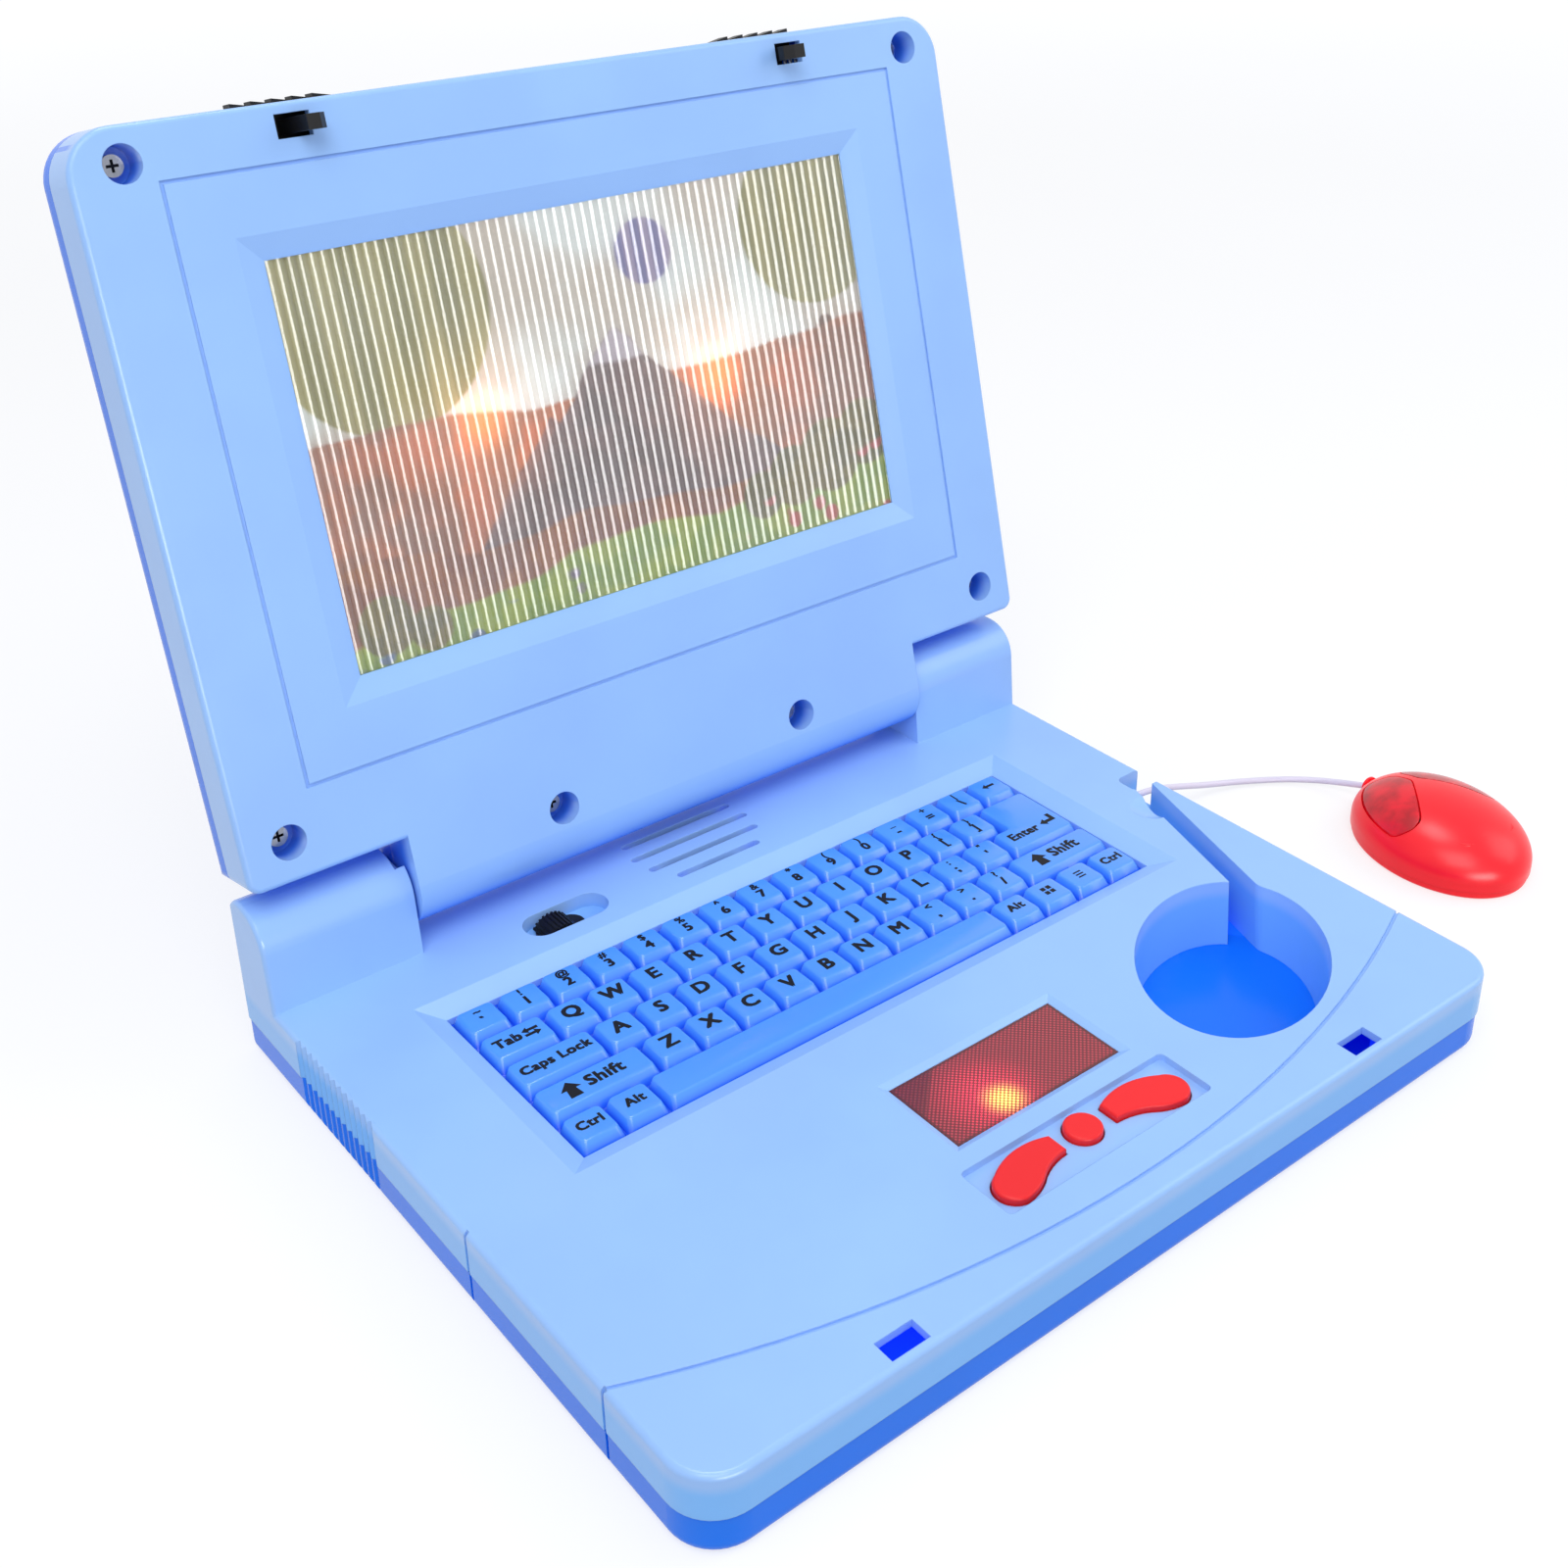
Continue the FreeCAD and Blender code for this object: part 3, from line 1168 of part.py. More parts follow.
def speaker_cone():
    """Paper cone that closes the basket."""
    rim_low = TOP_SKIN_Z - SPEAKER_RIM_THICK
    low = rim_low - BASKET_DEPTH
    wide = SPEAKER_R - SPEAKER_RIM
    narrow = BASKET_R - BASKET_WALL
    outside = Part.makeCone(narrow, wide, BASKET_DEPTH, V(0, SPEAKER_Y, low))
    inside = Part.makeCone(narrow - CONE_WALL, wide - CONE_WALL, BASKET_DEPTH, V(0, SPEAKER_Y, low + CONE_WALL))
    return outside.cut(inside)


def speaker_magnet():
    """Magnet under the basket."""
    top = TOP_SKIN_Z - SPEAKER_RIM_THICK - BASKET_DEPTH
    return post(MAGNET_R, 0, SPEAKER_Y, top - MAGNET_HEIGHT, top)


def hinge_pins():
    """Pins fixed in the blocks on which the lid turns."""
    pin = rod(PIN_R, BLOCK_INNER - PIN_IN_LID, BLOCK_INNER + PIN_IN_BLOCK, HINGE_Y, HINGE_Z)
    return Part.makeCompound([pin, mirrored(pin)])


def grommet(x_low, x_face):
    """Plug with a flange, along X."""
    plug = rod(GROMMET_R, x_low, x_face, 0, 0)
    return joined(plug, [rod(GROMMET_FLANGE_R, x_face, x_face + GROMMET_FLANGE, 0, 0)])


def base_cord_grommet():
    """Grommet through which the cord enters the base."""
    piece = grommet(NOTCH_LEFT - GROMMET_LENGTH, NOTCH_LEFT)
    piece.translate(V(0, NOTCH_Y, CORD_EXIT_Z))
    return piece


def tongue_outline(x, grow):
    """Front outline of the lid's tongue between the blocks, shrunk by grow."""
    radius = TONGUE_R - grow
    face = LID_FACE - grow
    diagonal = radius * math.sqrt(0.5)
    start = (x, LID_LOW + LID_LOW_CORNER, face)
    bend = (x, TONGUE_CENTRE_Y, face)
    middle = (x, TONGUE_CENTRE_Y - diagonal, TONGUE_CENTRE_Z + diagonal)
    low = (x, TONGUE_CENTRE_Y - radius, TONGUE_CENTRE_Z)
    seam = (x, TONGUE_CENTRE_Y - radius, LID_SEAM)
    end = (x, LID_LOW + LID_LOW_CORNER, LID_SEAM)
    edges = [line(start, bend), arc(bend, middle, low), line(low, seam), line(seam, end), line(end, start)]
    return edges


def tongue_back_outline(x, grow):
    """Back outline of the lid's tongue, shrunk by grow."""
    radius = TONGUE_BACK_R - grow
    back = LID_BACK + grow
    low_y = TONGUE_LOW + grow
    diagonal = radius * math.sqrt(0.5)
    upper = (x, low_y, LID_SEAM)
    bend = (x, low_y, back + radius)
    middle = (x, low_y + radius - diagonal, back + radius - diagonal)
    low = (x, low_y + radius, back)
    end = (x, LID_LOW + LID_BACK_EDGE, back)
    seam = (x, LID_LOW + LID_BACK_EDGE, LID_SEAM)
    edges = [line(upper, bend), arc(bend, middle, low), line(low, end), line(end, seam), line(seam, upper)]
    return edges


def lid_bosses(z0, z1, radius):
    """Upright bosses at the lid's screws."""
    return [post(radius, x, y, z0, z1) for x, y in LID_SCREWS]


def hinge_bosses():
    """Ends of the tongue that take the hinge pins."""
    boss = rod(PIN_BOSS_R, TONGUE_X, TONGUE_X - LID_BOSS_LENGTH, 0, 0)
    return [boss, mirrored(boss)]


def hinge_bores():
    """Running bores for the hinge pins."""
    bore = rod(PIN_R + PIN_FIT, TONGUE_X, TONGUE_X - LID_BOSS_LENGTH, 0, 0)
    return [bore, mirrored(bore)]


def grip_slots():
    """Slots in the top edge of the lid along which the grips run."""
    inner = GRIP_INNER - GRIP_FIT
    outer = GRIP_INNER + GRIP_LENGTH + LATCH_TRAVEL + GRIP_FIT
    slot = box(inner, outer, LID_TOP - 2 * CASE_WALL, LID_TOP + CUT_OVER, GRIP_LOW - GRIP_FIT, GRIP_HIGH + GRIP_FIT)
    slot = at_latch(slot)
    return [slot, mirrored(slot)]


def lid_front_bezel():
    """Light front shell of the lid."""
    x1 = LID_HALF
    shell = rounded_prism(-x1, x1, LID_LOW, LID_TOP, LID_SEAM, LID_FACE, LID_LOW_CORNER, LID_TOP_CORNER)
    shell = shell.makeFillet(LID_FACE_EDGE, edges_at(shell, LID_FACE))
    tongue = side_profile(tongue_outline(-TONGUE_X, 0), -TONGUE_X, TONGUE_X)
    shell = joined(shell, [tongue])
    wall = CASE_WALL
    hollow = rounded_prism(-x1 + wall, x1 - wall, LID_LOW + wall, LID_TOP - wall, LID_SEAM, LID_INSIDE,
                           LID_LOW_CORNER - wall, LID_TOP_CORNER - wall)
    inner_x = TONGUE_X - wall
    tongue_hollow = side_profile(tongue_outline(-inner_x, LID_SKIN), -inner_x, inner_x)
    shell = shell.cut([hollow, tongue_hollow])
    upper = box(-TONGUE_X, TONGUE_X, TONGUE_LOW, LID_LOW, LID_SEAM, LID_FACE)
    added = lid_bosses(LID_SEAM, LID_INSIDE, LID_BOSS_R)
    added += [boss.common(upper) for boss in hinge_bosses()]
    shell = joined(shell, added)
    line_half = LINE_WIDTH / 2
    ring = box(-FRAME_LINE_X - line_half, FRAME_LINE_X + line_half, FRAME_LINE_LOW - line_half,
               FRAME_LINE_HIGH + line_half, LID_FACE - LINE_DEPTH, LID_FACE)
    ring = ring.cut(box(-FRAME_LINE_X + line_half, FRAME_LINE_X - line_half, FRAME_LINE_LOW + line_half,
                        FRAME_LINE_HIGH - line_half, LID_FACE - LINE_DEPTH, LID_FACE))
    screen_x = SCREEN_WIDTH / 2
    hole = at_latch(box(LATCH_HOLE_INNER, LATCH_HOLE_OUTER, LATCH_V - LATCH_HOLE_LENGTH / 2,
                        LATCH_V + LATCH_HOLE_LENGTH / 2, LID_INSIDE, LID_FACE))
    cutters = [
        ring,
        sloped_opening(screen_x, SCREEN_LOW, SCREEN_HIGH, LID_FACE - SCREEN_DROP, LID_FACE, SCREEN_BEVEL),
        box(-screen_x, screen_x, SCREEN_LOW, SCREEN_HIGH, LID_INSIDE, LID_FACE),
        hole,
        mirrored(hole),
    ]
    cutters += hinge_bores() + grip_slots()
    cutters += lid_bosses(LID_FACE - LID_WELL, LID_FACE, LID_WELL_R)
    cutters += lid_bosses(LID_SEAM, LID_FACE, SCREW_HOLE_R)
    return in_lid(one_solid(shell.cut(cutters)))


def lid_back_body(inset):
    """Main part of the back shell with its rounded back edges, shrunk by inset."""
    x1 = LID_HALF - inset
    top = LID_TOP - inset
    back = LID_BACK + inset
    low = LID_LOW + inset
    corner = LID_TOP_CORNER - inset
    pillow = rounded_prism(-x1, x1, low - 2 * LID_TOP_CORNER, top, back, LID_SEAM, corner, corner)
    pillow = pillow.makeFillet(LID_BACK_EDGE - inset, edges_at(pillow, back))
    return pillow.common(rounded_prism(-x1, x1, low, top, back, LID_SEAM, LID_LOW_CORNER - inset, corner))


def lid_back_cover():
    """Dark back shell of the lid with the latch guides and the lamp board's posts."""
    wall = CASE_WALL
    tongue = side_profile(tongue_back_outline(-TONGUE_X, 0), -TONGUE_X, TONGUE_X)
    shell = joined(lid_back_body(0), [tongue])
    hollow = lid_back_body(wall)
    inner_x = TONGUE_X - wall
    tongue_hollow = side_profile(tongue_back_outline(-inner_x, wall), -inner_x, inner_x)
    shell = shell.cut([hollow, tongue_hollow])
    lower = box(-TONGUE_X, TONGUE_X, TONGUE_LOW, LID_LOW, LID_BACK, LID_SEAM)
    guide_low = LID_TOP - wall - SLIDER_LENGTH - GUIDE_MARGIN
    guide = at_latch(box(GUIDE_INNER, SPRING_STOP, guide_low, LID_TOP - wall, LID_BACK_INSIDE, SLIDER_LOW))
    stop = at_latch(box(SPRING_STOP, SPRING_STOP + STOP_WALL, guide_low, LID_TOP - wall, LID_BACK_INSIDE, SLIDER_HIGH))
    added = lid_bosses(LID_BACK_INSIDE, LID_SEAM, BOSS_R)
    added += [boss.common(lower) for boss in hinge_bosses()]
    added += [guide, mirrored(guide), stop, mirrored(stop)]
    added += [post(POST_R, side * LAMP_POST_X, LAMP_BOARD_Y, LID_BACK_INSIDE, LAMP_BOARD_Z) for side in (-1, 1)]
    shell = joined(shell, added)
    cutters = hinge_bores() + grip_slots()
    cutters += lid_bosses(LID_FACE - LID_WELL - LID_SCREW_LENGTH, LID_SEAM, SCREW_R)
    return in_lid(one_solid(shell.cut(cutters)))


def lid_screws():
    """Screws of the lid, driven in from its face."""
    seat = LID_FACE - LID_WELL
    pieces = [screw(x, y, seat, LID_SCREW_LENGTH, SCREW_R, HEAD_R, HEAD_HEIGHT, -1) for x, y in LID_SCREWS]
    return in_lid(Part.makeCompound(pieces))


def screen_sheet(z0, z1):
    """Rectangular sheet behind the screen opening."""
    half = SCREEN_WIDTH / 2 + LENS_LAP
    return in_lid(box(-half, half, SCREEN_LOW - LENS_LAP, SCREEN_HIGH + LENS_LAP, z0, z1))


def screen_lamp_board():
    """Strip of circuit board behind the picture."""
    half = LAMP_BOARD_LENGTH / 2
    half_y = LAMP_BOARD_DEPTH / 2
    top = LAMP_BOARD_Z + BOARD_THICK
    return in_lid(box(-half, half, LAMP_BOARD_Y - half_y, LAMP_BOARD_Y + half_y, LAMP_BOARD_Z, top))


def screen_lamps():
    """Two lamps behind the picture."""
    low = LAMP_BOARD_Z + BOARD_THICK
    return in_lid(Part.makeCompound([lamp(SCREEN_LAMP_R, SCREEN_LAMP_HEIGHT, x, y, low) for x, y in SCREEN_LAMPS]))


def right_latch():
    """Latch in the lid's frame: toothed grip, slider and hook."""
    inside = LID_TOP - CASE_WALL
    grip = box(GRIP_INNER, GRIP_INNER + GRIP_LENGTH, inside - GRIP_ROOT, LID_TOP + GRIP_PROUD, GRIP_LOW, GRIP_HIGH)
    pitch = GRIP_LENGTH / GRIP_TEETH
    teeth = []
    for i in range(GRIP_TEETH):
        x = GRIP_INNER + i * pitch
        outer = LID_TOP + GRIP_PROUD
        points = (
            V(x, outer - GRIP_TOOTH_DEPTH, GRIP_LOW),
            V(x + pitch, outer, GRIP_LOW),
            V(x, outer, GRIP_LOW),
        )
        face = Part.Face(Part.makePolygon(points + points[:1]))
        teeth.append(face.extrude(V(0, 0, GRIP_HIGH - GRIP_LOW)))
    grip = grip.cut(teeth)
    slider = box(SLIDER_INNER, SLIDER_OUTER, inside - SLIDER_LENGTH, inside - GRIP_FIT, SLIDER_LOW, SLIDER_HIGH)
    barb_low = LID_FACE + LID_GAP + CASE_WALL + BARB_CLEARANCE
    tip = LID_FACE + HOOK_REACH
    y0 = LATCH_V - HOOK_LENGTH / 2
    outline = (
        V(HOOK_OUTER, y0, SLIDER_HIGH),
        V(HOOK_OUTER, y0, tip),
        V(HOOK_INNER, y0, tip),
        V(HOOK_INNER - BARB, y0, tip - BARB_RAMP),
        V(HOOK_INNER - BARB, y0, barb_low),
        V(HOOK_INNER, y0, barb_low),
        V(HOOK_INNER, y0, SLIDER_HIGH),
    )
    hook = Part.Face(Part.makePolygon(outline + outline[:1])).extrude(V(0, HOOK_LENGTH, 0))
    return at_latch(one_solid(joined(slider, [grip, hook])))


def right_latch_spring():
    """Coil spring between the slider and its stop, in the lid's frame."""
    length = SPRING_STOP - SLIDER_OUTER - 2 * SPRING_WIRE_R
    pitch = length / SPRING_TURNS
    helix = Part.makeHelix(pitch, length, SPRING_R)
    start = Part.Wire(Part.makeCircle(SPRING_WIRE_R, V(SPRING_R, 0, 0), Y_AXIS))
    coil = Part.Wire(helix).makePipeShell([start], True, True)
    coil.rotate(ORIGIN, Y_AXIS, 90)
    middle_y = LID_TOP - CASE_WALL - (SLIDER_LENGTH + GRIP_FIT) / 2
    coil.translate(V(LATCH_X + SLIDER_OUTER + SPRING_WIRE_R, middle_y, SPRING_AXIS_Z))
    print("latch spring gap %.2f mm" % (pitch - 2 * SPRING_WIRE_R))
    return coil


def mouse_dome(shrink):
    """Body of the mouse: half an ellipsoid on an elliptical skirt."""
    a = MOUSE_LONG - shrink
    b = MOUSE_WIDE - shrink
    c = MOUSE_HEIGHT - MOUSE_WAIST - shrink
    ball = Part.makeSphere(1.0, ORIGIN, Z_AXIS, 0, 90, 360)
    stretch = FreeCAD.Matrix()
    stretch.scale(a, b, c)
    dome = ball.transformGeometry(stretch)
    dome.translate(V(0, 0, MOUSE_WAIST))
    skirt = ellipse_prism(a, b, MOUSE_PLATE, MOUSE_WAIST)
    return dome.fuse(skirt)


def mouse_button_plan(grow):
    """Upright prism around the mouse's left button, grown by a distance."""
    high = MOUSE_HEIGHT + CUT_OVER
    field = ellipse_prism(MOUSE_BUTTON_LONG + grow, MOUSE_BUTTON_WIDE + grow, MOUSE_PLATE, high)
    band = box(-MOUSE_BUTTON_BACK - grow, MOUSE_BUTTON_FRONT + grow, MOUSE_BUTTON_INNER - grow, MOUSE_LONG,
               MOUSE_PLATE, high)
    band.rotate(ORIGIN, Z_AXIS, MOUSE_BUTTON_SLANT)
    side = box(-MOUSE_LONG, MOUSE_LONG, MOUSE_RIDGE - grow, MOUSE_WIDE, MOUSE_PLATE, high)
    plan = field.common(band).common(side)
    upright = [e for e in plan.Edges if e.BoundBox.ZLength > MOUSE_WAIST]
    return plan.makeFillet(MOUSE_BUTTON_CORNER + grow, upright)


def mouse_wall():
    """Curved wall of the mouse."""
    return mouse_dome(0).cut(mouse_dome(MOUSE_WALL))


def across_mouse(shape):
    """Copy on the other side of the mouse's long axis."""
    return shape.mirror(ORIGIN, Y_AXIS)


def mouse_left_button():
    """Left mouse button in the mouse's frame: part of the wall and a stem."""
    cap = mouse_wall().common(mouse_button_plan(0))
    stem_low = MOUSE_BOARD_Z + BOARD_THICK + MOUSE_SWITCH_HEIGHT + MOUSE_BUTTON_TRAVEL + MOUSE_SWITCH_GAP
    stem = post(MOUSE_STEM_R, MOUSE_STEM_X, MOUSE_STEM_Y, stem_low, MOUSE_STEM_TOP)
    return one_solid(cap.fuse(stem))


def mouse_top_shell():
    """Upper shell of the mouse with two button openings and screw bosses."""
    gap = mouse_button_plan(MOUSE_BUTTON_GAP)
    shell = mouse_wall().cut([gap, across_mouse(gap)])
    bosses = [post(MOUSE_BOSS_R, MOUSE_BOSS_X, y, MOUSE_PLATE, MOUSE_BOSS_TOP) for y in (-MOUSE_BOSS_Y, MOUSE_BOSS_Y)]
    shell = shell.fuse(bosses)
    cutters = [rod(GROMMET_R, MOUSE_LONG - GROMMET_LENGTH, MOUSE_LONG + CUT_OVER, 0, CORD_ENTRY_Z)]
    for y in (-MOUSE_BOSS_Y, MOUSE_BOSS_Y):
        cutters.append(post(MOUSE_SCREW_R, MOUSE_BOSS_X, y, MOUSE_PLATE, MOUSE_SCREW_WELL + MOUSE_SCREW_LENGTH))
    return in_mouse(one_solid(shell.cut(cutters)))


def mouse_bottom_plate():
    """Bottom plate of the mouse with posts for its board."""
    plate = ellipse_prism(MOUSE_LONG - MOUSE_PLATE_INSET, MOUSE_WIDE - MOUSE_PLATE_INSET, 0, MOUSE_PLATE)
    plate = plate.makeFillet(MOUSE_PLATE_EDGE, edges_at(plate, 0))
    half = MOUSE_BOARD_WIDTH / 2 - POST_INSET
    xs = (MOUSE_BOARD_BACK + POST_INSET, MOUSE_BOARD_FRONT - POST_INSET)
    posts = [post(POST_R, x, side * half, MOUSE_PLATE, MOUSE_BOARD_Z) for x in xs for side in (-1, 1)]
    plate = joined(plate, posts)
    cutters = []
    for y in (-MOUSE_BOSS_Y, MOUSE_BOSS_Y):
        cutters.append(post(MOUSE_SCREW_HEAD_R + BUTTON_FIT, MOUSE_BOSS_X, y, 0, MOUSE_SCREW_WELL))
        cutters.append(post(MOUSE_SCREW_R + BUTTON_FIT, MOUSE_BOSS_X, y, 0, MOUSE_PLATE))
    return in_mouse(one_solid(plate.cut(cutters)))


def mouse_board():
    """Circuit board in the mouse."""
    half = MOUSE_BOARD_WIDTH / 2
    top = MOUSE_BOARD_Z + BOARD_THICK
    return in_mouse(box(MOUSE_BOARD_BACK, MOUSE_BOARD_FRONT, -half, half, MOUSE_BOARD_Z, top))


def mouse_switches():
    """Push switches under the mouse buttons."""
    half = MOUSE_SWITCH_SIDE / 2
    low = MOUSE_BOARD_Z + BOARD_THICK
    pieces = []
    for y in (-MOUSE_STEM_Y, MOUSE_STEM_Y):
        pieces.append(box(MOUSE_STEM_X - half, MOUSE_STEM_X + half, y - half, y + half, low, low + MOUSE_SWITCH_HEIGHT))
    return in_mouse(Part.makeCompound(pieces))


def mouse_screws():
    """Screws that hold the mouse together from below."""
    pieces = []
    for y in (-MOUSE_BOSS_Y, MOUSE_BOSS_Y):
        pieces.append(screw(MOUSE_BOSS_X, y, MOUSE_SCREW_WELL, MOUSE_SCREW_LENGTH, MOUSE_SCREW_R, MOUSE_SCREW_HEAD_R,
                            MOUSE_SCREW_HEAD, 1))
    return in_mouse(Part.makeCompound(pieces))


def mouse_cord_grommet():
    """Grommet at the mouse's nose."""
    piece = grommet(MOUSE_LONG - GROMMET_LENGTH, CORD_ENTRY_REACH - GROMMET_FLANGE)
    piece.translate(V(0, 0, CORD_ENTRY_Z))
    return in_mouse(piece)


def cord_route():
    """Corner points of the cord from the base to the mouse."""
    turn = math.radians(MOUSE_TURN)
    reach = CORD_ENTRY_REACH - CORD_BURIED
    entry = V(MOUSE_X + reach * math.cos(turn), MOUSE_Y + reach * math.sin(turn), CORD_ENTRY_Z)
    return [V(CORD_PIVOT_X, NOTCH_Y, CORD_EXIT_Z)] + [V(*p) for p in CORD_POINTS] + [entry]


def mouse_cord():
    """Cord: straight runs joined by round bends."""
    points = cord_route()
    edges = []
    last = points[0]
    radii = []
    for before, here, after in zip(points, points[1:], points[2:]):
        into = (here - before).normalize()
        out = (after - here).normalize()
        half_turn = into.getAngle(out) / 2
        shorter = min((here - before).Length, (after - here).Length)
        back = CORD_BEND_SHARE * shorter
        radii.append(back / math.tan(half_turn))
        start = here - into * back
        end = here + out * back
        inward = (out - into).normalize()
        middle = here + inward * radii[-1] * (1 / math.cos(half_turn) - 1)
        edges.append(Part.LineSegment(last, start).toShape())
        edges.append(Part.Arc(start, middle, end).toShape())
        last = end
    edges.append(Part.LineSegment(last, points[-1]).toShape())
    path = Part.Wire(edges)
    section = Part.Wire(Part.makeCircle(CORD_R, points[0], points[1] - points[0]))
    cord = path.makePipeShell([section], True, False)
    share = cord.Volume / (math.pi * CORD_R ** 2 * path.Length)
    print("cord length %.1f mm, least bend radius %.1f mm, volume share %.3f" % (path.Length, min(radii), share))
    return cord


def parts():
    """Every node of the object and its shape, one at a time."""
    bean = button(bean_body, BEAN_STEM_X, BEAN_STEM_Y)
    latch = right_latch()
    spring = right_latch_spring()
    mouse_key = mouse_left_button()
    lens_low = LID_INSIDE - LENS_THICK
    return {
        "base_top_case": base_top_case(),
        "base_bottom_case": base_bottom_case(),
        "keyboard_plate": keyboard_plate(),
        "touchpad_window": touchpad_window(),
        "touchpad_lamp": lamp(LAMP_R, LAMP_HEIGHT, PAD_LAMP_X, PAD_LAMP_Y, BUTTON_BOARD_Z + BOARD_THICK),
        "left_button": mirrored(bean),
        "center_button": button(round_body, 0, BUTTON_Y),
        "right_button": bean,
        "button_board": button_board(),
        "button_membrane": button_membrane(),
        "main_board": main_board(),
        "main_board_chips": main_board_chips(),
        "power_switch_knob": power_switch_knob(),
        "power_switch_body": power_switch_body(),
        "speaker_frame": speaker_frame(),
        "speaker_cone": speaker_cone(),
        "speaker_magnet": speaker_magnet(),
        "battery_cover": door_plate(DOOR_FIT, HEAD_R + DOOR_FIT),
        "battery_cover_screw": battery_cover_screw(),
        "battery_cells": battery_cells(),
        "battery_plate_contacts": battery_plate_contacts(),
        "battery_spring_contacts": battery_spring_contacts(),
        "base_screws": base_screws(),
        "hinge_pins": hinge_pins(),
        "base_cord_grommet": base_cord_grommet(),
        "lid_front_bezel": lid_front_bezel(),
        "lid_back_cover": lid_back_cover(),
        "lid_screws": lid_screws(),
        "screen_lens": screen_sheet(lens_low, LID_INSIDE),
        "screen_picture_card": screen_sheet(lens_low - CARD_THICK, lens_low),
        "screen_lamp_board": screen_lamp_board(),
        "screen_lamps": screen_lamps(),
        "left_latch": in_lid(mirrored(latch)),
        "right_latch": in_lid(latch),
        "left_latch_spring": in_lid(mirrored(spring)),
        "right_latch_spring": in_lid(spring),
        "mouse_top_shell": mouse_top_shell(),
        "mouse_bottom_plate": mouse_bottom_plate(),
        "mouse_left_button": in_mouse(mouse_key),
        "mouse_right_button": in_mouse(across_mouse(mouse_key)),
        "mouse_board": mouse_board(),
        "mouse_switches": mouse_switches(),
        "mouse_screws": mouse_screws(),
        "mouse_cord": mouse_cord(),
        "mouse_cord_grommet": mouse_cord_grommet(),
    }


os.makedirs("parts", exist_ok=True)
for name, shape in parts().items():
    if not shape.isValid():
        raise ValueError(name + " is not a valid shape")
    shape.exportStep("parts/%s.step" % name)
    print("%s: %d solid(s), %.0f mm3" % (name, len(shape.Solids), shape.Volume))
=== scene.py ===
"""Looks of a toy laptop with a corded mouse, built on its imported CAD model."""

import json
import math

import bmesh
import bpy
from bpy.props import FloatProperty, FloatVectorProperty, IntProperty, PointerProperty
from bpy.types import Operator, Panel, PropertyGroup
from mathutils import Matrix, Vector


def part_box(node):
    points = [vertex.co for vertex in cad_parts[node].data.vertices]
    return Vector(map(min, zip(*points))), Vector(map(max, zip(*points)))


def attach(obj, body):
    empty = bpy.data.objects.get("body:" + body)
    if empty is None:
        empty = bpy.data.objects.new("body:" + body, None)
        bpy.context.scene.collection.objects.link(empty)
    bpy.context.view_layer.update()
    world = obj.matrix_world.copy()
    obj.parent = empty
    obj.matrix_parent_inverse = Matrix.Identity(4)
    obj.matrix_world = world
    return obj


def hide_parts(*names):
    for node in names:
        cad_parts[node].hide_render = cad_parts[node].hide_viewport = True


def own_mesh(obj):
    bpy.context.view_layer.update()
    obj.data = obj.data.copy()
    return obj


bl_info = {
    "name": "Toy laptop looks",
    "version": (1, 0, 0),
    "blender": (4, 5, 0),
    "location": "View3D > Sidebar > Toy laptop",
    "description": "Keys, ribbed screen, finishes and stage of a toy laptop",
    "category": "Object",
}

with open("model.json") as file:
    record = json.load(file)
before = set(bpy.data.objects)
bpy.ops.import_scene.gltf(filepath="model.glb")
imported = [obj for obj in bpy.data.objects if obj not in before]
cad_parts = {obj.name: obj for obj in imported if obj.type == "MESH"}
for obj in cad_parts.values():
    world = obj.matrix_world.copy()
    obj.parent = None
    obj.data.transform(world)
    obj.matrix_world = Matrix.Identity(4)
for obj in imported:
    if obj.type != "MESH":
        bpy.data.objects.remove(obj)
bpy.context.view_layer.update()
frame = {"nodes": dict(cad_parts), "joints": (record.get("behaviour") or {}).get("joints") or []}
NODES = frame["nodes"]
JOINTS = {joint["name"]: joint for joint in frame["joints"]}
HINGE = JOINTS["lid_hinge"]
MM = 0.001

# Base: height of its top face, and depths below it between which the painted shade of its walls sets in
BASE_TOP = 22.5 * MM
WALL_SHADE = (6.0 * MM, 2.2 * MM)
# Hollow of the base: floor, roof, distance from the outer faces of the tray, corner radius and painted light
HOLLOW_LOW = 2.4 * MM
HOLLOW_HIGH = 19.9 * MM
HOLLOW_INSET = 1.6 * MM
HOLLOW_CORNER = 10.4 * MM
HOLLOW_GLOW = 0.45
# A length in metres that is past every size of the object
FAR = 1
# Mouse recess: its middle in millimetres, and its reach
RECESS_MIDDLE = (78.5, -55.8)
RECESS_REACH = 38 * MM
# Screw wells of the lid: depths between which their painted shade sets in, and the outer rim that keeps its
# own tone
WELL_SHADE = (7.0 * MM, 1.0 * MM)
WELL_RIM = 3.0 * MM
# Cross in the screw heads: depths between which its painted shade sets in
CROSS_SHADE = (0.5 * MM, 0.15 * MM)
# Painted shade at the foot of the keys: depths below the plate and below the tops between which it fades into
# the key colour
GAP_SHADE = (0.3 * MM, 0.4 * MM)


def srgb(red, green, blue):
    """Linear colour from the 0 to 255 values of a display colour."""
    def linear(value):
        value /= 255
        return value / 12.92 if value <= 0.04045 else ((value + 0.055) / 1.055) ** 2.4
    return linear(red), linear(green), linear(blue)


def colour_prop(name, description, default):
    """Colour setting with its default."""
    return FloatVectorProperty(name=name, description=description, default=default, subtype="COLOR",
                               min=0, max=1)


def length_prop(name, description, default):
    """Length setting with its default in millimetres."""
    return FloatProperty(name=name, description=description, default=default * MM, subtype="DISTANCE",
                         unit="LENGTH")


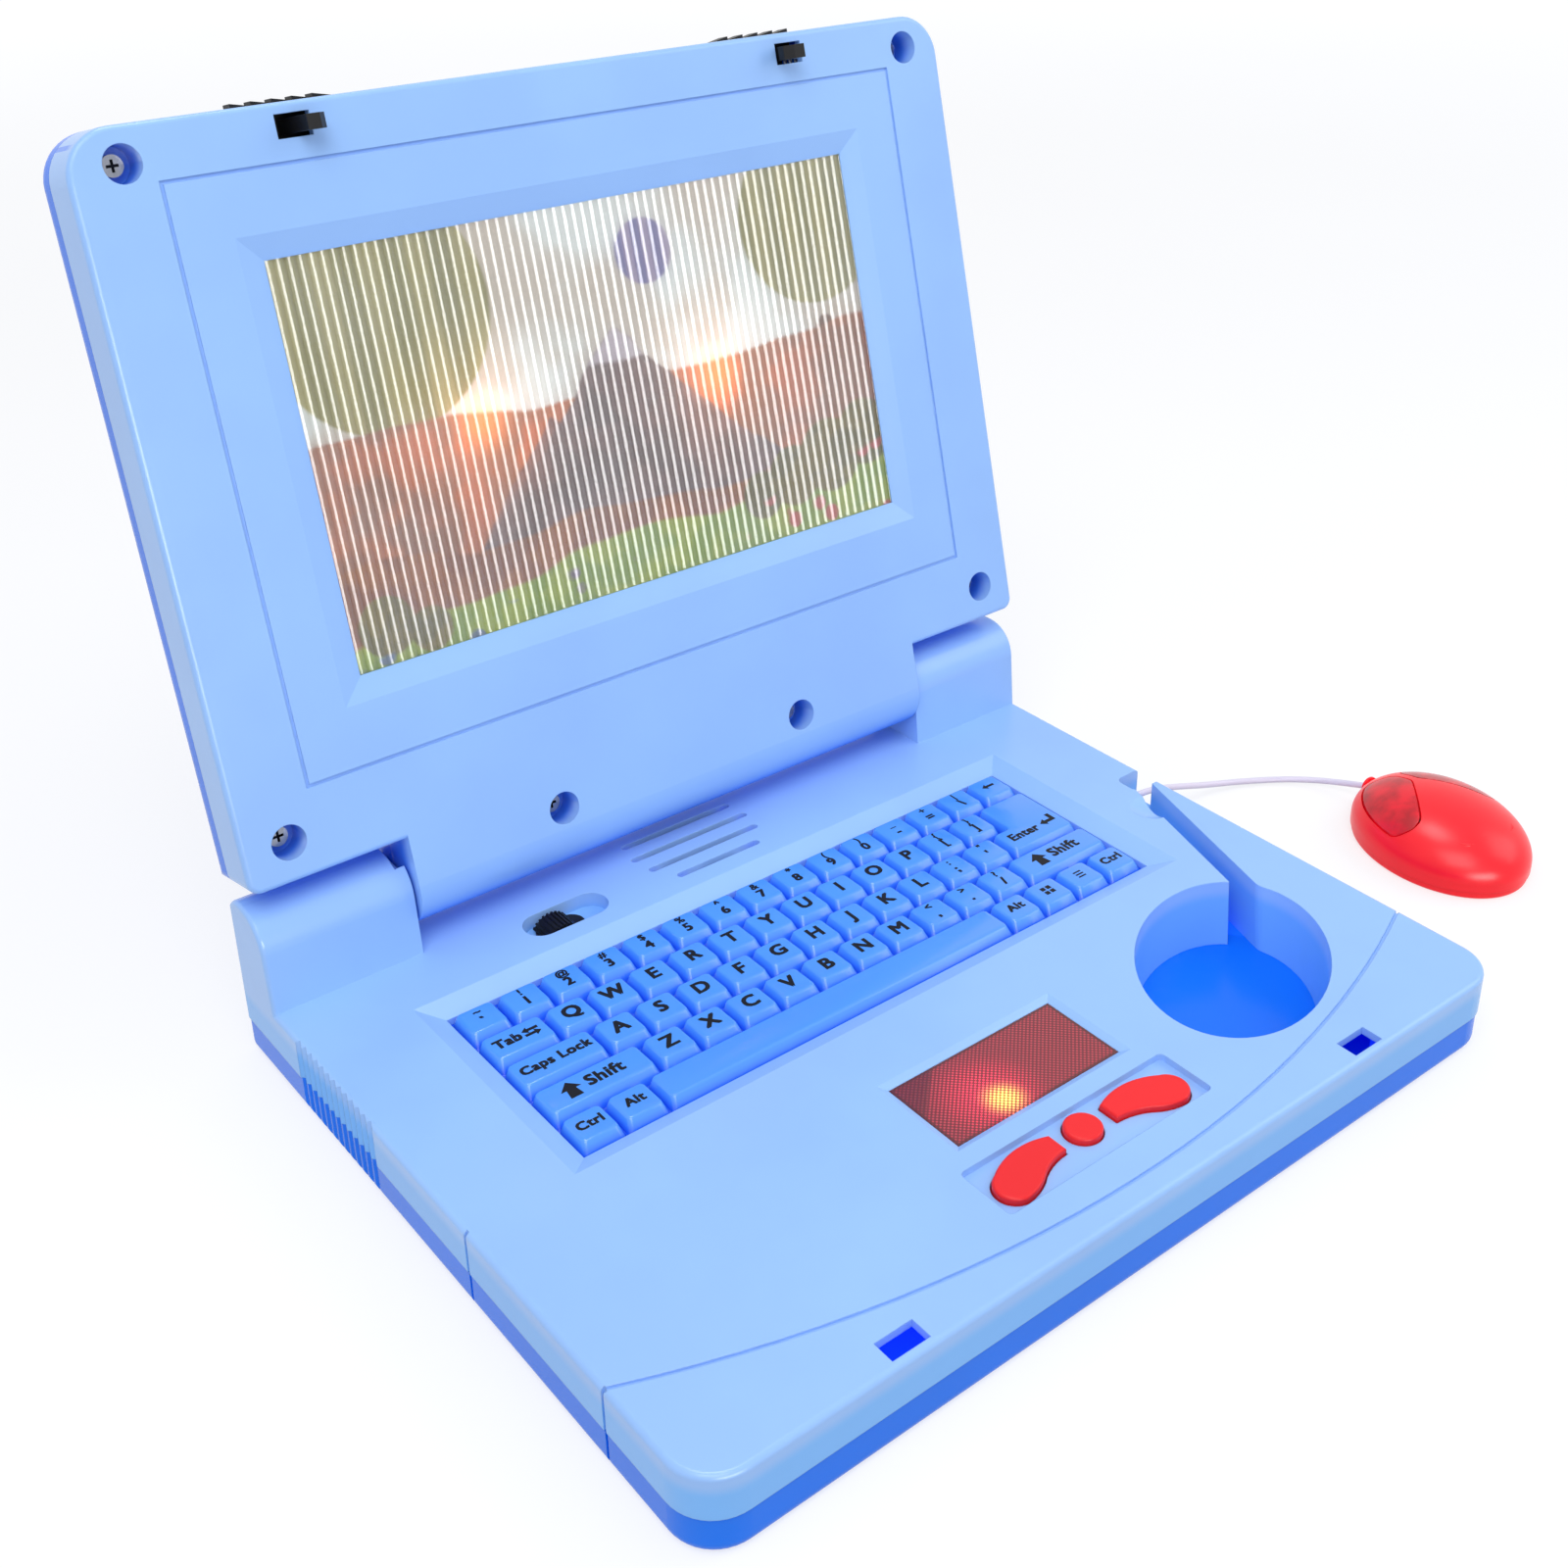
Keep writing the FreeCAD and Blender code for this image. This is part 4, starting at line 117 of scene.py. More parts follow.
class ToyLaptopColours(PropertyGroup):
    """Colours of the moulded parts, of the shade painted on them, and of the light painted inside them."""

    light: colour_prop("Light shells", "Upper shell of the base and front of the lid", srgb(157, 199, 254))
    # Painted shade: the light shell's walls turn a deeper blue below its top face
    walls: colour_prop("Light walls", "Light shell below its top face", srgb(126, 190, 254))
    dark: colour_prop("Dark shells", "Tray of the base and back of the lid", srgb(14, 121, 247))
    keys: colour_prop("Keys", "Keyboard plate and its keys", srgb(78, 156, 253))
    # Painted shade between and beneath the keys, darkest deep in the gaps
    key_gap_shade: colour_prop("Key roots", "Keyboard between and beneath the keys", srgb(24, 92, 236))
    buttons: colour_prop("Buttons", "Three buttons below the window", srgb(253, 40, 44))
    mouse: colour_prop("Mouse", "Shells of the mouse", srgb(252, 20, 36))
    mouse_keys: colour_prop("Mouse buttons", "Two buttons of the mouse", srgb(226, 12, 36))
    black: colour_prop("Black parts", "Latches and switch knob", srgb(19, 19, 21))
    ink: colour_prop("Legends", "Print on the keys", srgb(14, 13, 18))
    cord: colour_prop("Cord", "Sleeve of the mouse cord", srgb(232, 224, 240))
    # Painted shade deep in the screw wells of the lid
    wells: colour_prop("Screw wells", "Depths of the screw wells in the lid", srgb(74, 140, 248))
    hollow: colour_prop("Hollow", "Light that comes through the shells into the base", srgb(20, 60, 248))
    lamp: colour_prop("Screen lamps", "Glow behind the picture", srgb(255, 150, 48))


class ToyLaptopSizes(PropertyGroup):
    """Sizes of the pieces that are modelled here."""

    key_pitch_x: length_prop("Key pitch across", "Width of one key with its gap", 12.66)
    key_pitch_y: length_prop("Key pitch along", "Depth of one key with its gap", 12.9)
    keyboard_y: length_prop("Keyboard middle", "Keyboard's middle behind the middle of the base", 23.4)
    key_gap: length_prop("Key gap", "Gap between the feet of two keys", 0.5)
    key_edge: length_prop("Key edge", "Rounding of the rim of the keys' tops", 0.5)
    key_corner: length_prop("Key corner", "Rounding of the keys' upright edges", 1.3)
    plate_top: length_prop("Plate height", "Height of the plate the keys stand on", 17.8)
    key_top: length_prop("Key height", "Height of the keys' tops", 21.2)
    legend: length_prop("Legend height", "Letter size on the keys", 7.0)
    rib_pitch: length_prop("Rib pitch", "Distance between the ribs of the screen", 2.86)
    rib_height: length_prop("Rib height", "Height of the ribs of the screen", 0.55)
    cord_diameter: length_prop("Cord diameter", "Thickness of the mouse cord", 2.0)
    rib_steps: IntProperty(name="Rib steps", description="Facets across one rib", default=6, min=2, max=16)


class ToyLaptopLooks(PropertyGroup):
    """All settings."""

    colours: PointerProperty(type=ToyLaptopColours)
    sizes: PointerProperty(type=ToyLaptopSizes)


def looks():
    """Settings of the open scene."""
    return bpy.context.scene.toy_laptop


# Materials

WHITE = (1, 1, 1, 1)


def add(tree, kind, inputs=None, **settings):
    """Adds a node, sets its options, and fills or links its sockets."""
    node = tree.nodes.new(kind)
    for key, value in settings.items():
        setattr(node, key, value)
    for key, value in (inputs or {}).items():
        if isinstance(value, bpy.types.NodeSocket):
            tree.links.new(value, node.inputs[key])
        else:
            node.inputs[key].default_value = value
    return node


def rgba(colour, gain=1.0):
    """Four-value colour, brightened by a gain."""
    return tuple(min(1.0, c * gain) for c in colour[:3]) + (1.0,)


def blank(name):
    """Material with only an output."""
    material = bpy.data.materials.new(name)
    material.use_nodes = True
    tree = material.node_tree
    tree.nodes.clear()
    return material, tree, add(tree, "ShaderNodeOutputMaterial")


def object_coords(tree):
    """Coordinates of a piece, in metres."""
    return add(tree, "ShaderNodeTexCoord").outputs["Object"]


def principled(tree):
    """Main shader of a moulded or metal material."""
    return next(n for n in tree.nodes if n.type == "BSDF_PRINCIPLED")


def math_node(tree, operation, first, second=0.5, third=0.5):
    """Result socket of one sum."""
    return add(tree, "ShaderNodeMath", {0: first, 1: second, 2: third}, operation=operation).outputs[0]


def vector_node(tree, operation, first, second=(0, 0, 0)):
    """Node of one sum with vectors."""
    return add(tree, "ShaderNodeVectorMath", {0: first, 1: second}, operation=operation)


def mix(tree, factor, first, second):
    """Colour socket between two colours."""
    node = add(tree, "ShaderNodeMix", {0: factor}, data_type="RGBA")
    for socket, value in ((node.inputs[6], first), (node.inputs[7], second)):
        if isinstance(value, bpy.types.NodeSocket):
            tree.links.new(value, socket)
        else:
            socket.default_value = value
    return node.outputs[2]


def noise(tree, coords, scale, detail=2.0):
    """Noise value at a scale in cells per metre."""
    sockets = {"Vector": coords, "Scale": scale, "Detail": detail}
    return add(tree, "ShaderNodeTexNoise", sockets).outputs["Fac"]


def ranged(tree, value, low, high, new_low, new_high):
    """Value carried from one range to another, clamped, with soft ends."""
    sockets = {"Value": value, 1: low, 2: high, 3: new_low, 4: new_high}
    return add(tree, "ShaderNodeMapRange", sockets, interpolation_type="SMOOTHSTEP").outputs[0]


# Noise: the stretch of its values that counts, and cells per metre of the gloss and the grain
NOISE_SPAN = (0.3, 0.7)
GLOSS_CELLS = 300
GRAIN_CELLS = 2400
GRAIN_DEPTH = 0.1 * MM
# How far the gloss of plastic and of metal drifts to each side
PLASTIC_DRIFT = 0.012
METAL_DRIFT = 0.06
# Streaks of drawn metal: stretch, tones and relief
STREAK_STRETCH = (1, 1, 0.15)
STREAK_TONES = (0.82, 1.12)
STREAK_RELIEF = 0.08
STREAK_DEPTH = 0.05 * MM


def drifting(tree, coords, cells, low, high):
    """Value that drifts between two others over a surface."""
    return ranged(tree, noise(tree, coords, cells, 3), *NOISE_SPAN, low, high)


def moulded(name, colour, rough=0.34, tint=0.03, grain=0.015, edge=0.35, cells=22, **shader):
    """Moulded plastic: faint colour drift, uneven gloss, fine grain and softened edges."""
    material, tree, out = blank(name)
    coords = object_coords(tree)
    drift = drifting(tree, coords, cells, 0, 1)
    tone = mix(tree, drift, rgba(colour, 1 - tint), rgba(colour, 1 + tint))
    gloss = drifting(tree, coords, GLOSS_CELLS, rough - PLASTIC_DRIFT, rough + PLASTIC_DRIFT)
    soft = add(tree, "ShaderNodeBevel", {"Radius": edge * MM}, samples=4).outputs[0]
    pores = noise(tree, coords, GRAIN_CELLS, 2)
    relief = {"Strength": grain, "Distance": GRAIN_DEPTH, "Normal": soft, "Height": pores}
    bump = add(tree, "ShaderNodeBump", relief)
    sockets = {"Base Color": tone, "Roughness": gloss, "Normal": bump.outputs[0]}
    sockets.update(shader)
    body = add(tree, "ShaderNodeBsdfPrincipled", sockets)
    tree.links.new(body.outputs[0], out.inputs[0])
    return material


def metal(name, colour, rough, streak=900):
    """Plated metal with fine drawn streaks."""
    material, tree, out = blank(name)
    coords = object_coords(tree)
    stretched = add(tree, "ShaderNodeMapping", {"Vector": coords, "Scale": STREAK_STRETCH}).outputs[0]
    lines = noise(tree, stretched, streak, 4)
    tone = mix(tree, lines, *(rgba(colour, gain) for gain in STREAK_TONES))
    gloss = drifting(tree, coords, GLOSS_CELLS, rough - METAL_DRIFT, rough + METAL_DRIFT)
    relief = {"Strength": STREAK_RELIEF, "Distance": STREAK_DEPTH, "Height": lines}
    bump = add(tree, "ShaderNodeBump", relief)
    sockets = {"Base Color": tone, "Roughness": gloss, "Metallic": 1.0, "Normal": bump.outputs[0]}
    body = add(tree, "ShaderNodeBsdfPrincipled", sockets)
    tree.links.new(body.outputs[0], out.inputs[0])
    return material


def lid_plane(tree):
    """Coordinates along the open lid: x across, y up from the hinge, in metres."""
    coords = object_coords(tree)
    turn = math.radians(lid_angle())
    moved = add(tree, "ShaderNodeMapping", {"Vector": coords, "Location": tuple(-c for c in HINGE["pos_m"])})
    turned = add(tree, "ShaderNodeMapping", {"Vector": moved.outputs[0], "Rotation": (-turn, 0, 0)})
    return turned.outputs[0]


def lid_angle():
    """Angle of the open lid above the horizontal, in degrees."""
    return 180 - HINGE["range_deg"][1]


def lid_matrix():
    """From the lid's own frame to the open lid."""
    return Matrix.Translation(HINGE["pos_m"]) @ Matrix.Rotation(math.radians(lid_angle()), 4, "X")


def lid_box(node):
    """Corners of a CAD node in the lid's own frame: across, up from the hinge and square to the lid."""
    turned = lid_matrix().inverted() @ NODES[node].matrix_world
    points = [turned @ v.co for v in NODES[node].data.vertices]
    return [Vector([pick(p[axis] for p in points) for axis in range(3)]) for pick in (min, max)]


def away(tree, plane, x, y):
    """Distance on a plane from a point in millimetres."""
    middle = add(tree, "ShaderNodeMapping", {"Vector": plane, "Location": (-x * MM, -y * MM, 0)}).outputs[0]
    flat = vector_node(tree, "MULTIPLY", middle, (1, 1, 0)).outputs[0]
    return vector_node(tree, "LENGTH", flat).outputs["Value"]


def glow(tree, plane, x, y, reach):
    """Falloff around a lamp behind a surface: 1 at its middle, 0 at its reach."""
    return ranged(tree, away(tree, plane, x, y), 0, reach * MM, 1, 0)


def inner_light(material, colour, strength):
    """Painted light: a glow on the dark shell inside the hollow of the base, for the light that comes through
    the thin shells.
    """
    tree = material.node_tree
    coords = object_coords(tree)
    split = add(tree, "ShaderNodeSeparateXYZ", {0: coords})
    over = math_node(tree, "GREATER_THAN", split.outputs[2], HOLLOW_LOW)
    under = math_node(tree, "LESS_THAN", split.outputs[2], HOLLOW_HIGH)
    inside = math_node(tree, "MULTIPLY", over, under)
    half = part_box("base_bottom_case")[1]
    straight = [half[axis] - HOLLOW_INSET - HOLLOW_CORNER for axis in (0, 1)] + [FAR]
    past = vector_node(tree, "ABSOLUTE", coords).outputs[0]
    past = vector_node(tree, "SUBTRACT", past, straight).outputs[0]
    past = vector_node(tree, "MAXIMUM", past).outputs[0]
    reach = vector_node(tree, "LENGTH", past).outputs["Value"]
    inside = math_node(tree, "MULTIPLY", inside, math_node(tree, "LESS_THAN", reach, HOLLOW_CORNER))
    clear = math_node(tree, "GREATER_THAN", away(tree, coords, *RECESS_MIDDLE), RECESS_REACH)
    lit = math_node(tree, "MULTIPLY", math_node(tree, "MULTIPLY", inside, clear), strength)
    body = principled(tree)
    body.inputs["Emission Color"].default_value = rgba(colour)
    tree.links.new(lit, body.inputs["Emission Strength"])


def shade_below(material, colour, low, high, plane=object_coords, within=()):
    """Paints shade into a material: another tone below a height and within limits, softly up to a second
    height.
    """
    tree = material.node_tree
    split = add(tree, "ShaderNodeSeparateXYZ", {0: plane(tree)})
    body = principled(tree)
    tone = body.inputs["Base Color"].links[0].from_socket
    raised = ranged(tree, split.outputs[2], low, high, 0, 1)
    for axis, limit in enumerate(within):
        apart = math_node(tree, "ABSOLUTE", split.outputs[axis])
        raised = math_node(tree, "MAXIMUM", raised, math_node(tree, "GREATER_THAN", apart, limit))
    tree.links.new(mix(tree, raised, rgba(colour), tone), body.inputs["Base Color"])


def paint(node, material):
    """Gives a CAD node one material."""
    data = NODES[node].data
    data.materials.clear()
    data.materials.append(material)
    for polygon in data.polygons:
        polygon.material_index = 0


# Meshes

def finish_piece(name, shape, material, body, replaces=(), smooth=40):
    """Turns a bmesh into a piece that rides on a body."""
    mesh = bpy.data.meshes.new(name)
    shape.to_mesh(mesh)
    shape.free()
    mesh.materials.append(material)
    if smooth:
        mesh.shade_smooth()
        mesh.set_sharp_from_angle(angle=math.radians(smooth))
    piece = bpy.data.objects.new(name, mesh)
    bpy.context.scene.collection.objects.link(piece)
    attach(piece, body)
    if replaces:
        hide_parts(*replaces)
    return piece


def block(shape, x0, x1, y0, y1, z0, z1):
    """Adds a box to a bmesh and returns its vertices."""
    place = Matrix.Translation(((x0 + x1) / 2, (y0 + y1) / 2, (z0 + z1) / 2))
    size = Matrix.Diagonal((x1 - x0, y1 - y0, z1 - z0, 1))
    return bmesh.ops.create_cube(shape, size=1, matrix=place @ size)["verts"]


def stamp(shape, mesh, matrix):
    """Adds a mesh to a bmesh at a place and removes it."""
    mesh.transform(matrix)
    shape.from_mesh(mesh)
    bpy.data.meshes.remove(mesh)


# Spacing of the letters of a legend
WORD_SPACING = 1.08


def word_mesh(text, size):
    """Flat mesh of a word about its own middle."""
    curve = bpy.data.curves.new("word", "FONT")
    curve.body = text
    curve.size = size
    curve.space_character = WORD_SPACING
    curve.resolution_u = 3
    curve.align_x = "CENTER"
    curve.align_y = "CENTER"
    holder = bpy.data.objects.new("word", curve)
    bpy.context.scene.collection.objects.link(holder)
    mesh = bpy.data.meshes.new_from_object(holder)
    bpy.data.objects.remove(holder)
    bpy.data.curves.remove(curve)
    return mesh


# Keyboard: widths in key units, and the legends of each row
KEY_ROWS = (
    (1,) * 15,
    (1.5,) + (1,) * 12,
    (2,) + (1,) * 11,
    (2.5,) + (1,) * 10 + (2.5,),
    (1, 1, 9, 1, 1, 1, 1),
)
LEGENDS = (
    ("~ `", "! 1", "@ 2", "# 3", "$ 4", "% 5", "^ 6", "& 7", "* 8", "( 9", ") 0", "_ -", "+ =", "| \\",
     "back"),
    ("Tab",) + tuple("QWERTYUIOP") + ("{ [", "} ]"),
    ("Caps Lock",) + tuple("ASDFGHJKL") + (": ;", "\" '"),
    ("Shift",) + tuple("ZXCVBNM") + ("< ,", "> .", "? /", "Shift"),
    ("Ctrl", "Alt", "", "Alt", "grid", "menu", "Ctrl"),
)
# Widths of the enter key's back and front halves, in key units
ENTER_UNITS = (1.5, 2.0)
# How far the sides of a key lean inwards, in millimetres
SIDE_SLOPE = 1.1
FRONT_SLOPE = 2.3
BACK_SLOPE = 0.6
# Facets across a rounded edge, and a length too short to count
EDGE_STEPS = 3
HAIR = 1e-6


def key_fields(sizes):
    """Foot rectangle and legend of every key but the enter key."""
    left = -len(KEY_ROWS[0]) / 2 * sizes.key_pitch_x
    back = sizes.keyboard_y + len(KEY_ROWS) / 2 * sizes.key_pitch_y
    fields = []
    for row, (widths, words) in enumerate(zip(KEY_ROWS, LEGENDS)):
        x = left
        y = back - row * sizes.key_pitch_y
        for units, word in zip(widths, words):
            following = x + units * sizes.key_pitch_x
            fields.append(((x, following, y - sizes.key_pitch_y, y), word))
            x = following
    return fields


def enter_fields(sizes):
    """The two rectangles of the angled enter key."""
    right = len(KEY_ROWS[0]) / 2 * sizes.key_pitch_x
    back = sizes.keyboard_y + (len(KEY_ROWS) / 2 - 1) * sizes.key_pitch_y
    front = back - 2 * sizes.key_pitch_y
    tall = (right - ENTER_UNITS[0] * sizes.key_pitch_x, right, front, back)
    wide = (right - ENTER_UNITS[1] * sizes.key_pitch_x, right, front, back - sizes.key_pitch_y)
    return tall, wide


def round_edges(shape, edges, radius):
    """Rounds some edges of a bmesh."""
    bmesh.ops.bevel(shape, geom=edges, offset=radius, segments=EDGE_STEPS, profile=0.5, affect="EDGES",
                    material=-1)


def soften_key(shape, sizes):
    """Rounds a key's upright edges and then the rim of its top."""
    tall = (sizes.key_top - sizes.plate_top) / 2
    standing = [e for e in shape.edges if abs(e.verts[0].co.z - e.verts[1].co.z) > tall]
    round_edges(shape, standing, sizes.key_corner)
    high = sizes.key_top - HAIR
    rim = [e for e in shape.edges if min(v.co.z for v in e.verts) > high]
    round_edges(shape, rim, sizes.key_edge)


def key_body(shape, field, sizes):
    """One key with leaning sides and rounded edges."""
    x0, x1, y0, y1 = field
    half = sizes.key_gap / 2
    verts = block(shape, x0 + half, x1 - half, y0 + half, y1 - half, sizes.plate_top, sizes.key_top)
    for v in verts:
        if v.co.z > (sizes.plate_top + sizes.key_top) / 2:
            v.co.x += SIDE_SLOPE * MM if v.co.x < (x0 + x1) / 2 else -SIDE_SLOPE * MM
            v.co.y += FRONT_SLOPE * MM if v.co.y < (y0 + y1) / 2 else -BACK_SLOPE * MM
    soften_key(shape, sizes)


def angled_key(shape, tall, wide, sizes):
    """The enter key: an L-shaped top drawn up from an L-shaped foot."""
    half = sizes.key_gap / 2
    x0, x1, y0, y1 = wide
    outline = ((x0 + half, y0 + half), (x1 - half, y0 + half), (x1 - half, tall[3] - half),
               (tall[0] + half, tall[3] - half), (tall[0] + half, y1 - half), (x0 + half, y1 - half))
    shift = ((1, 1), (-1, 1), (-1, -1), (1, -1), (1, -1), (1, -1))
    foot = [shape.verts.new((x, y, sizes.plate_top)) for x, y in outline]
    face = shape.faces.new(foot)
    top = bmesh.ops.extrude_face_region(shape, geom=[face])["geom"]
    for v in [v for v in top if isinstance(v, bmesh.types.BMVert)]:
        nearest = min(range(len(outline)), key=lambda i: (v.co.xy - Vector(outline[i])).length)
        sx, sy = shift[nearest]
        v.co.x += sx * SIDE_SLOPE * MM
        v.co.y += FRONT_SLOPE * MM if sy > 0 else -BACK_SLOPE * MM
        v.co.z = sizes.key_top
    soften_key(shape, sizes)


def set_key(plate, build, *fields):
    """Models one key by itself and sets it on the plate."""
    shape = bmesh.new()
    build(shape, *fields)
    mesh = bpy.data.meshes.new("key")
    shape.to_mesh(mesh)
    shape.free()
    stamp(plate, mesh, Matrix())


class TOYLAPTOP_OT_keyboard(Operator):
    """Models the keyboard plate with its rounded keys"""

    bl_idname = "toylaptop.keyboard"
    bl_label = "Keyboard"

    def execute(self, context):
        sizes = looks().sizes
        shape = bmesh.new()
        low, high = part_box("keyboard_plate")
        block(shape, low.x, high.x, low.y, high.y, low.z, sizes.plate_top)
        for field, _ in key_fields(sizes):
            set_key(shape, key_body, field, sizes)
        set_key(shape, angled_key, *enter_fields(sizes), sizes)
        bmesh.ops.recalc_face_normals(shape, faces=shape.faces)
        plastic = moulded("key_plastic", looks().colours.keys, rough=0.2, tint=0.02, edge=0.12,
                          **{"Coat Weight": 0.35, "Coat Roughness": 0.12})
        # Painted shade: the plate and the lower sides of the keys darken towards the gaps between them
        shade_low = sizes.plate_top - GAP_SHADE[0]
        shade_below(plastic, looks().colours.key_gap_shade, shade_low, sizes.key_top - GAP_SHADE[1])
        finish_piece("keyboard", shape, plastic, "base", ["keyboard_plate"])
        return {"FINISHED"}


def fill_outline(shape, matrix, points):
    """Adds a flat filled outline, in millimetres, to the print."""
    shape.faces.new([shape.verts.new(matrix @ Vector((x * MM, y * MM, 0))) for x, y in points])


# Outlines of the printed signs, in millimetres
UP_ARROW = ((-1.5, -2.5), (1.5, -2.5), (1.1, 0.1), (2.4, 0.1), (0, 2.6), (-2.4, 0.1), (-1.1, 0.1))
LEFT_ARROW = ((-2.4, 0), (-0.7, 1.3), (-0.7, 0.5), (2.2, 0.5), (2.2, -0.5), (-0.7, -0.5), (-0.7, -1.3))
RETURN_ARROW = ((-2.9, -0.8), (-0.7, 0.8), (-0.7, -0.2), (1.5, -0.2), (1.5, 2.2), (2.9, 2.2), (2.9, -1.5),
                (-0.7, -1.5), (-0.7, -2.4))
SQUARE = ((-0.75, -0.75), (0.75, -0.75), (0.75, 0.75), (-0.75, 0.75))
BAR = ((-1.4, -0.28), (1.4, -0.28), (1.4, 0.28), (-1.4, 0.28))
# Signs on the keys: outline, place from the middle in millimetres, turn and scale
SIGNS = {
    "back": ((LEFT_ARROW, 0, 0.6, 0, 1),),
    "grid": tuple((SQUARE, dx, 0.3 + dy, 0, 1) for dx in (-1, 1) for dy in (-1, 1)),
    "menu": tuple((BAR, 0, 0.3 + dy, 0, 1) for dy in (-1.2, 0, 1.2)),
    "Shift": ((UP_ARROW, -6.6, 0.2, 0, 1.2),),
    "Tab": ((LEFT_ARROW, 3.8, 0.9, 0, 1), (LEFT_ARROW, 3.8, -0.9, math.pi, 1)),
    "Enter": ((RETURN_ARROW, 6.4, 1.4, 0, 1),),
}
# Legends without a word
WORDLESS = ("", "back", "grid", "menu")
# Print of words: share of the legend height, place from the middle in millimetres, and spread of the ink
STYLES = {
    "Shift": (0.78, 2.9, 0.2, 1.25),
    "Tab": (0.66, -2.9, 0.2, 1.25),
    "Enter": (0.66, -3.6, 0.2, 1.2),
    "upper": (0.52, 0, 2.6, 0.7),
    "lower": (0.68, 0, -1.4, 1.1),
    "long": (0.62, 0, 0.2, 1.1),
    "short": (0.59, 0, 0.2, 1.0),
    "letter": (0.9, 0, 0.2, 1.4),
}
# Letters from which a word counts as long
LONG_WORD = 5
# Ink: lift above the key and between its layers, and the spread of the layers, in millimetres
INK_LIFT = 0.03
INK_LAYER = 0.003
INK_SPREAD = (0.19, 0.15)
INK_CORNERS = ((-1, -1), (1, -1), (-1, 1), (1, 1))


def legend_words(legend):
    """The words of a legend, each with its style."""
    if legend in WORDLESS:
        return ()
    if legend in STYLES:
        return ((legend, STYLES[legend]),)
    if " " in legend and len(legend) == 3:
        return tuple(zip(legend.split(" "), (STYLES["upper"], STYLES["lower"])))
    if len(legend) == 1:
        return ((legend, STYLES["letter"]),)
    return ((legend, STYLES["long" if len(legend) >= LONG_WORD else "short"]),)


def print_legend(shape, legend, x, y, z, size):
    """Prints one key's legend about a point on its top."""
    def at(dx, dy, dz=0.0):
        return Matrix.Translation((x + dx * MM, y + dy * MM, z + dz * MM))

    for outline, dx, dy, turn, scale in SIGNS.get(legend, ()):
        turned = Matrix.Rotation(turn, 4, "Z") @ Matrix.Scale(scale, 4)
        fill_outline(shape, at(dx, dy) @ turned, outline)
    for word, (share, dx, dy, spread) in legend_words(legend):
        for layer, (sx, sy) in enumerate(INK_CORNERS):
            right = dx + sx * INK_SPREAD[0] * spread
            back = dy + sy * INK_SPREAD[1] * spread
            stamp(shape, word_mesh(word, size * share), at(right, back, layer * INK_LAYER))


class TOYLAPTOP_OT_legends(Operator):
    """Prints the letters, figures and signs on the keys"""

    bl_idname = "toylaptop.legends"
    bl_label = "Legends"

    def execute(self, context):
        sizes = looks().sizes
        shape = bmesh.new()
        z = sizes.key_top + INK_LIFT * MM
        lean = (FRONT_SLOPE - BACK_SLOPE) / 2 * MM
        for (x0, x1, y0, y1), word in key_fields(sizes):
            print_legend(shape, word, (x0 + x1) / 2, (y0 + y1) / 2 + lean, z, sizes.legend)
        x0, x1, y0, y1 = enter_fields(sizes)[1]
        print_legend(shape, "Enter", (x0 + x1) / 2, (y0 + y1) / 2 + lean, z, sizes.legend)
        bmesh.ops.recalc_face_normals(shape, faces=shape.faces)
        for face in shape.faces:
            if face.normal.z < 0:
                face.normal_flip()
        ink = moulded("key_ink", looks().colours.ink, rough=0.5, tint=0.2, grain=0.02, edge=0.02,
                      **{"Specular IOR Level": 0.2})
        finish_piece("key_legends", shape, ink, "base", smooth=0)
        return {"FINISHED"}


class TOYLAPTOP_OT_shells(Operator):
    """Finishes the shells of the base and the lid"""

    bl_idname = "toylaptop.shells"
    bl_label = "Shells"

    def execute(self, context):
        colours = looks().colours
        light = moulded("light_shell", colours.light, rough=0.25, **{"Specular IOR Level": 0.4})
        # Painted shade: the light shell turns a deeper blue on its walls below the top face
        shade_below(light, colours.walls, *(BASE_TOP - depth for depth in WALL_SHADE))
        bezel = moulded("lid_shell", colours.light, rough=0.25, **{"Specular IOR Level": 0.4})
        # Painted shade: the screw wells darken with depth below the lid's face, but not along its outer rim
        across, up, face = lid_box("lid_front_bezel")[1]
        shade_below(bezel, colours.wells, *(face - depth for depth in WELL_SHADE), lid_plane,
               (across - WELL_RIM, up - WELL_RIM))
        dark = moulded("dark_shell", colours.dark, rough=0.22, **{"Specular IOR Level": 0.2})
        inner_light(dark, colours.hollow, HOLLOW_GLOW)
        paint("base_top_case", light)
        paint("lid_front_bezel", bezel)
        for node in ("base_bottom_case", "lid_back_cover", "battery_cover"):
            paint(node, dark)
        return {"FINISHED"}


# Picture, in millimetres on the open lid: balloons with radius and stripe pitch, bushes with radius
BALLOONS = ((-62, 148, 31, 13), (76, 150, 25, 11))
FAR_BALLOON = (18, 150, 9, 6)
BUSHES = ((44, 74, 7), (56, 77, 9), (70, 80, 11), (84, 84, 10), (-78, 70, 8), (-66, 66, 6))
# Baskets: distance below their balloon, and radius
BASKET_DROP = 7
BASKET_RADIUS = 3.2
BASKET_TONE = (150, 108, 70)
# Peaks: middle, steepness and crest
FOOTHILL = (-20, 1.1, 118)
MOUNTAIN = (4, 0.95, 136)
# Upper edges of the land, and the lower edge of the snow
DESERT_TOP = 131
SNOW_LINE = 138
DUNES_TOP = 99
MEADOW_TOP = 90
PETALS_TOP = 86
# How the meadow rises to the right, and cells per metre and height of the waves and crags
MEADOW_RISE = 0.08
WAVES = (14, 30 * MM)
CRAGS = (60, 10 * MM)
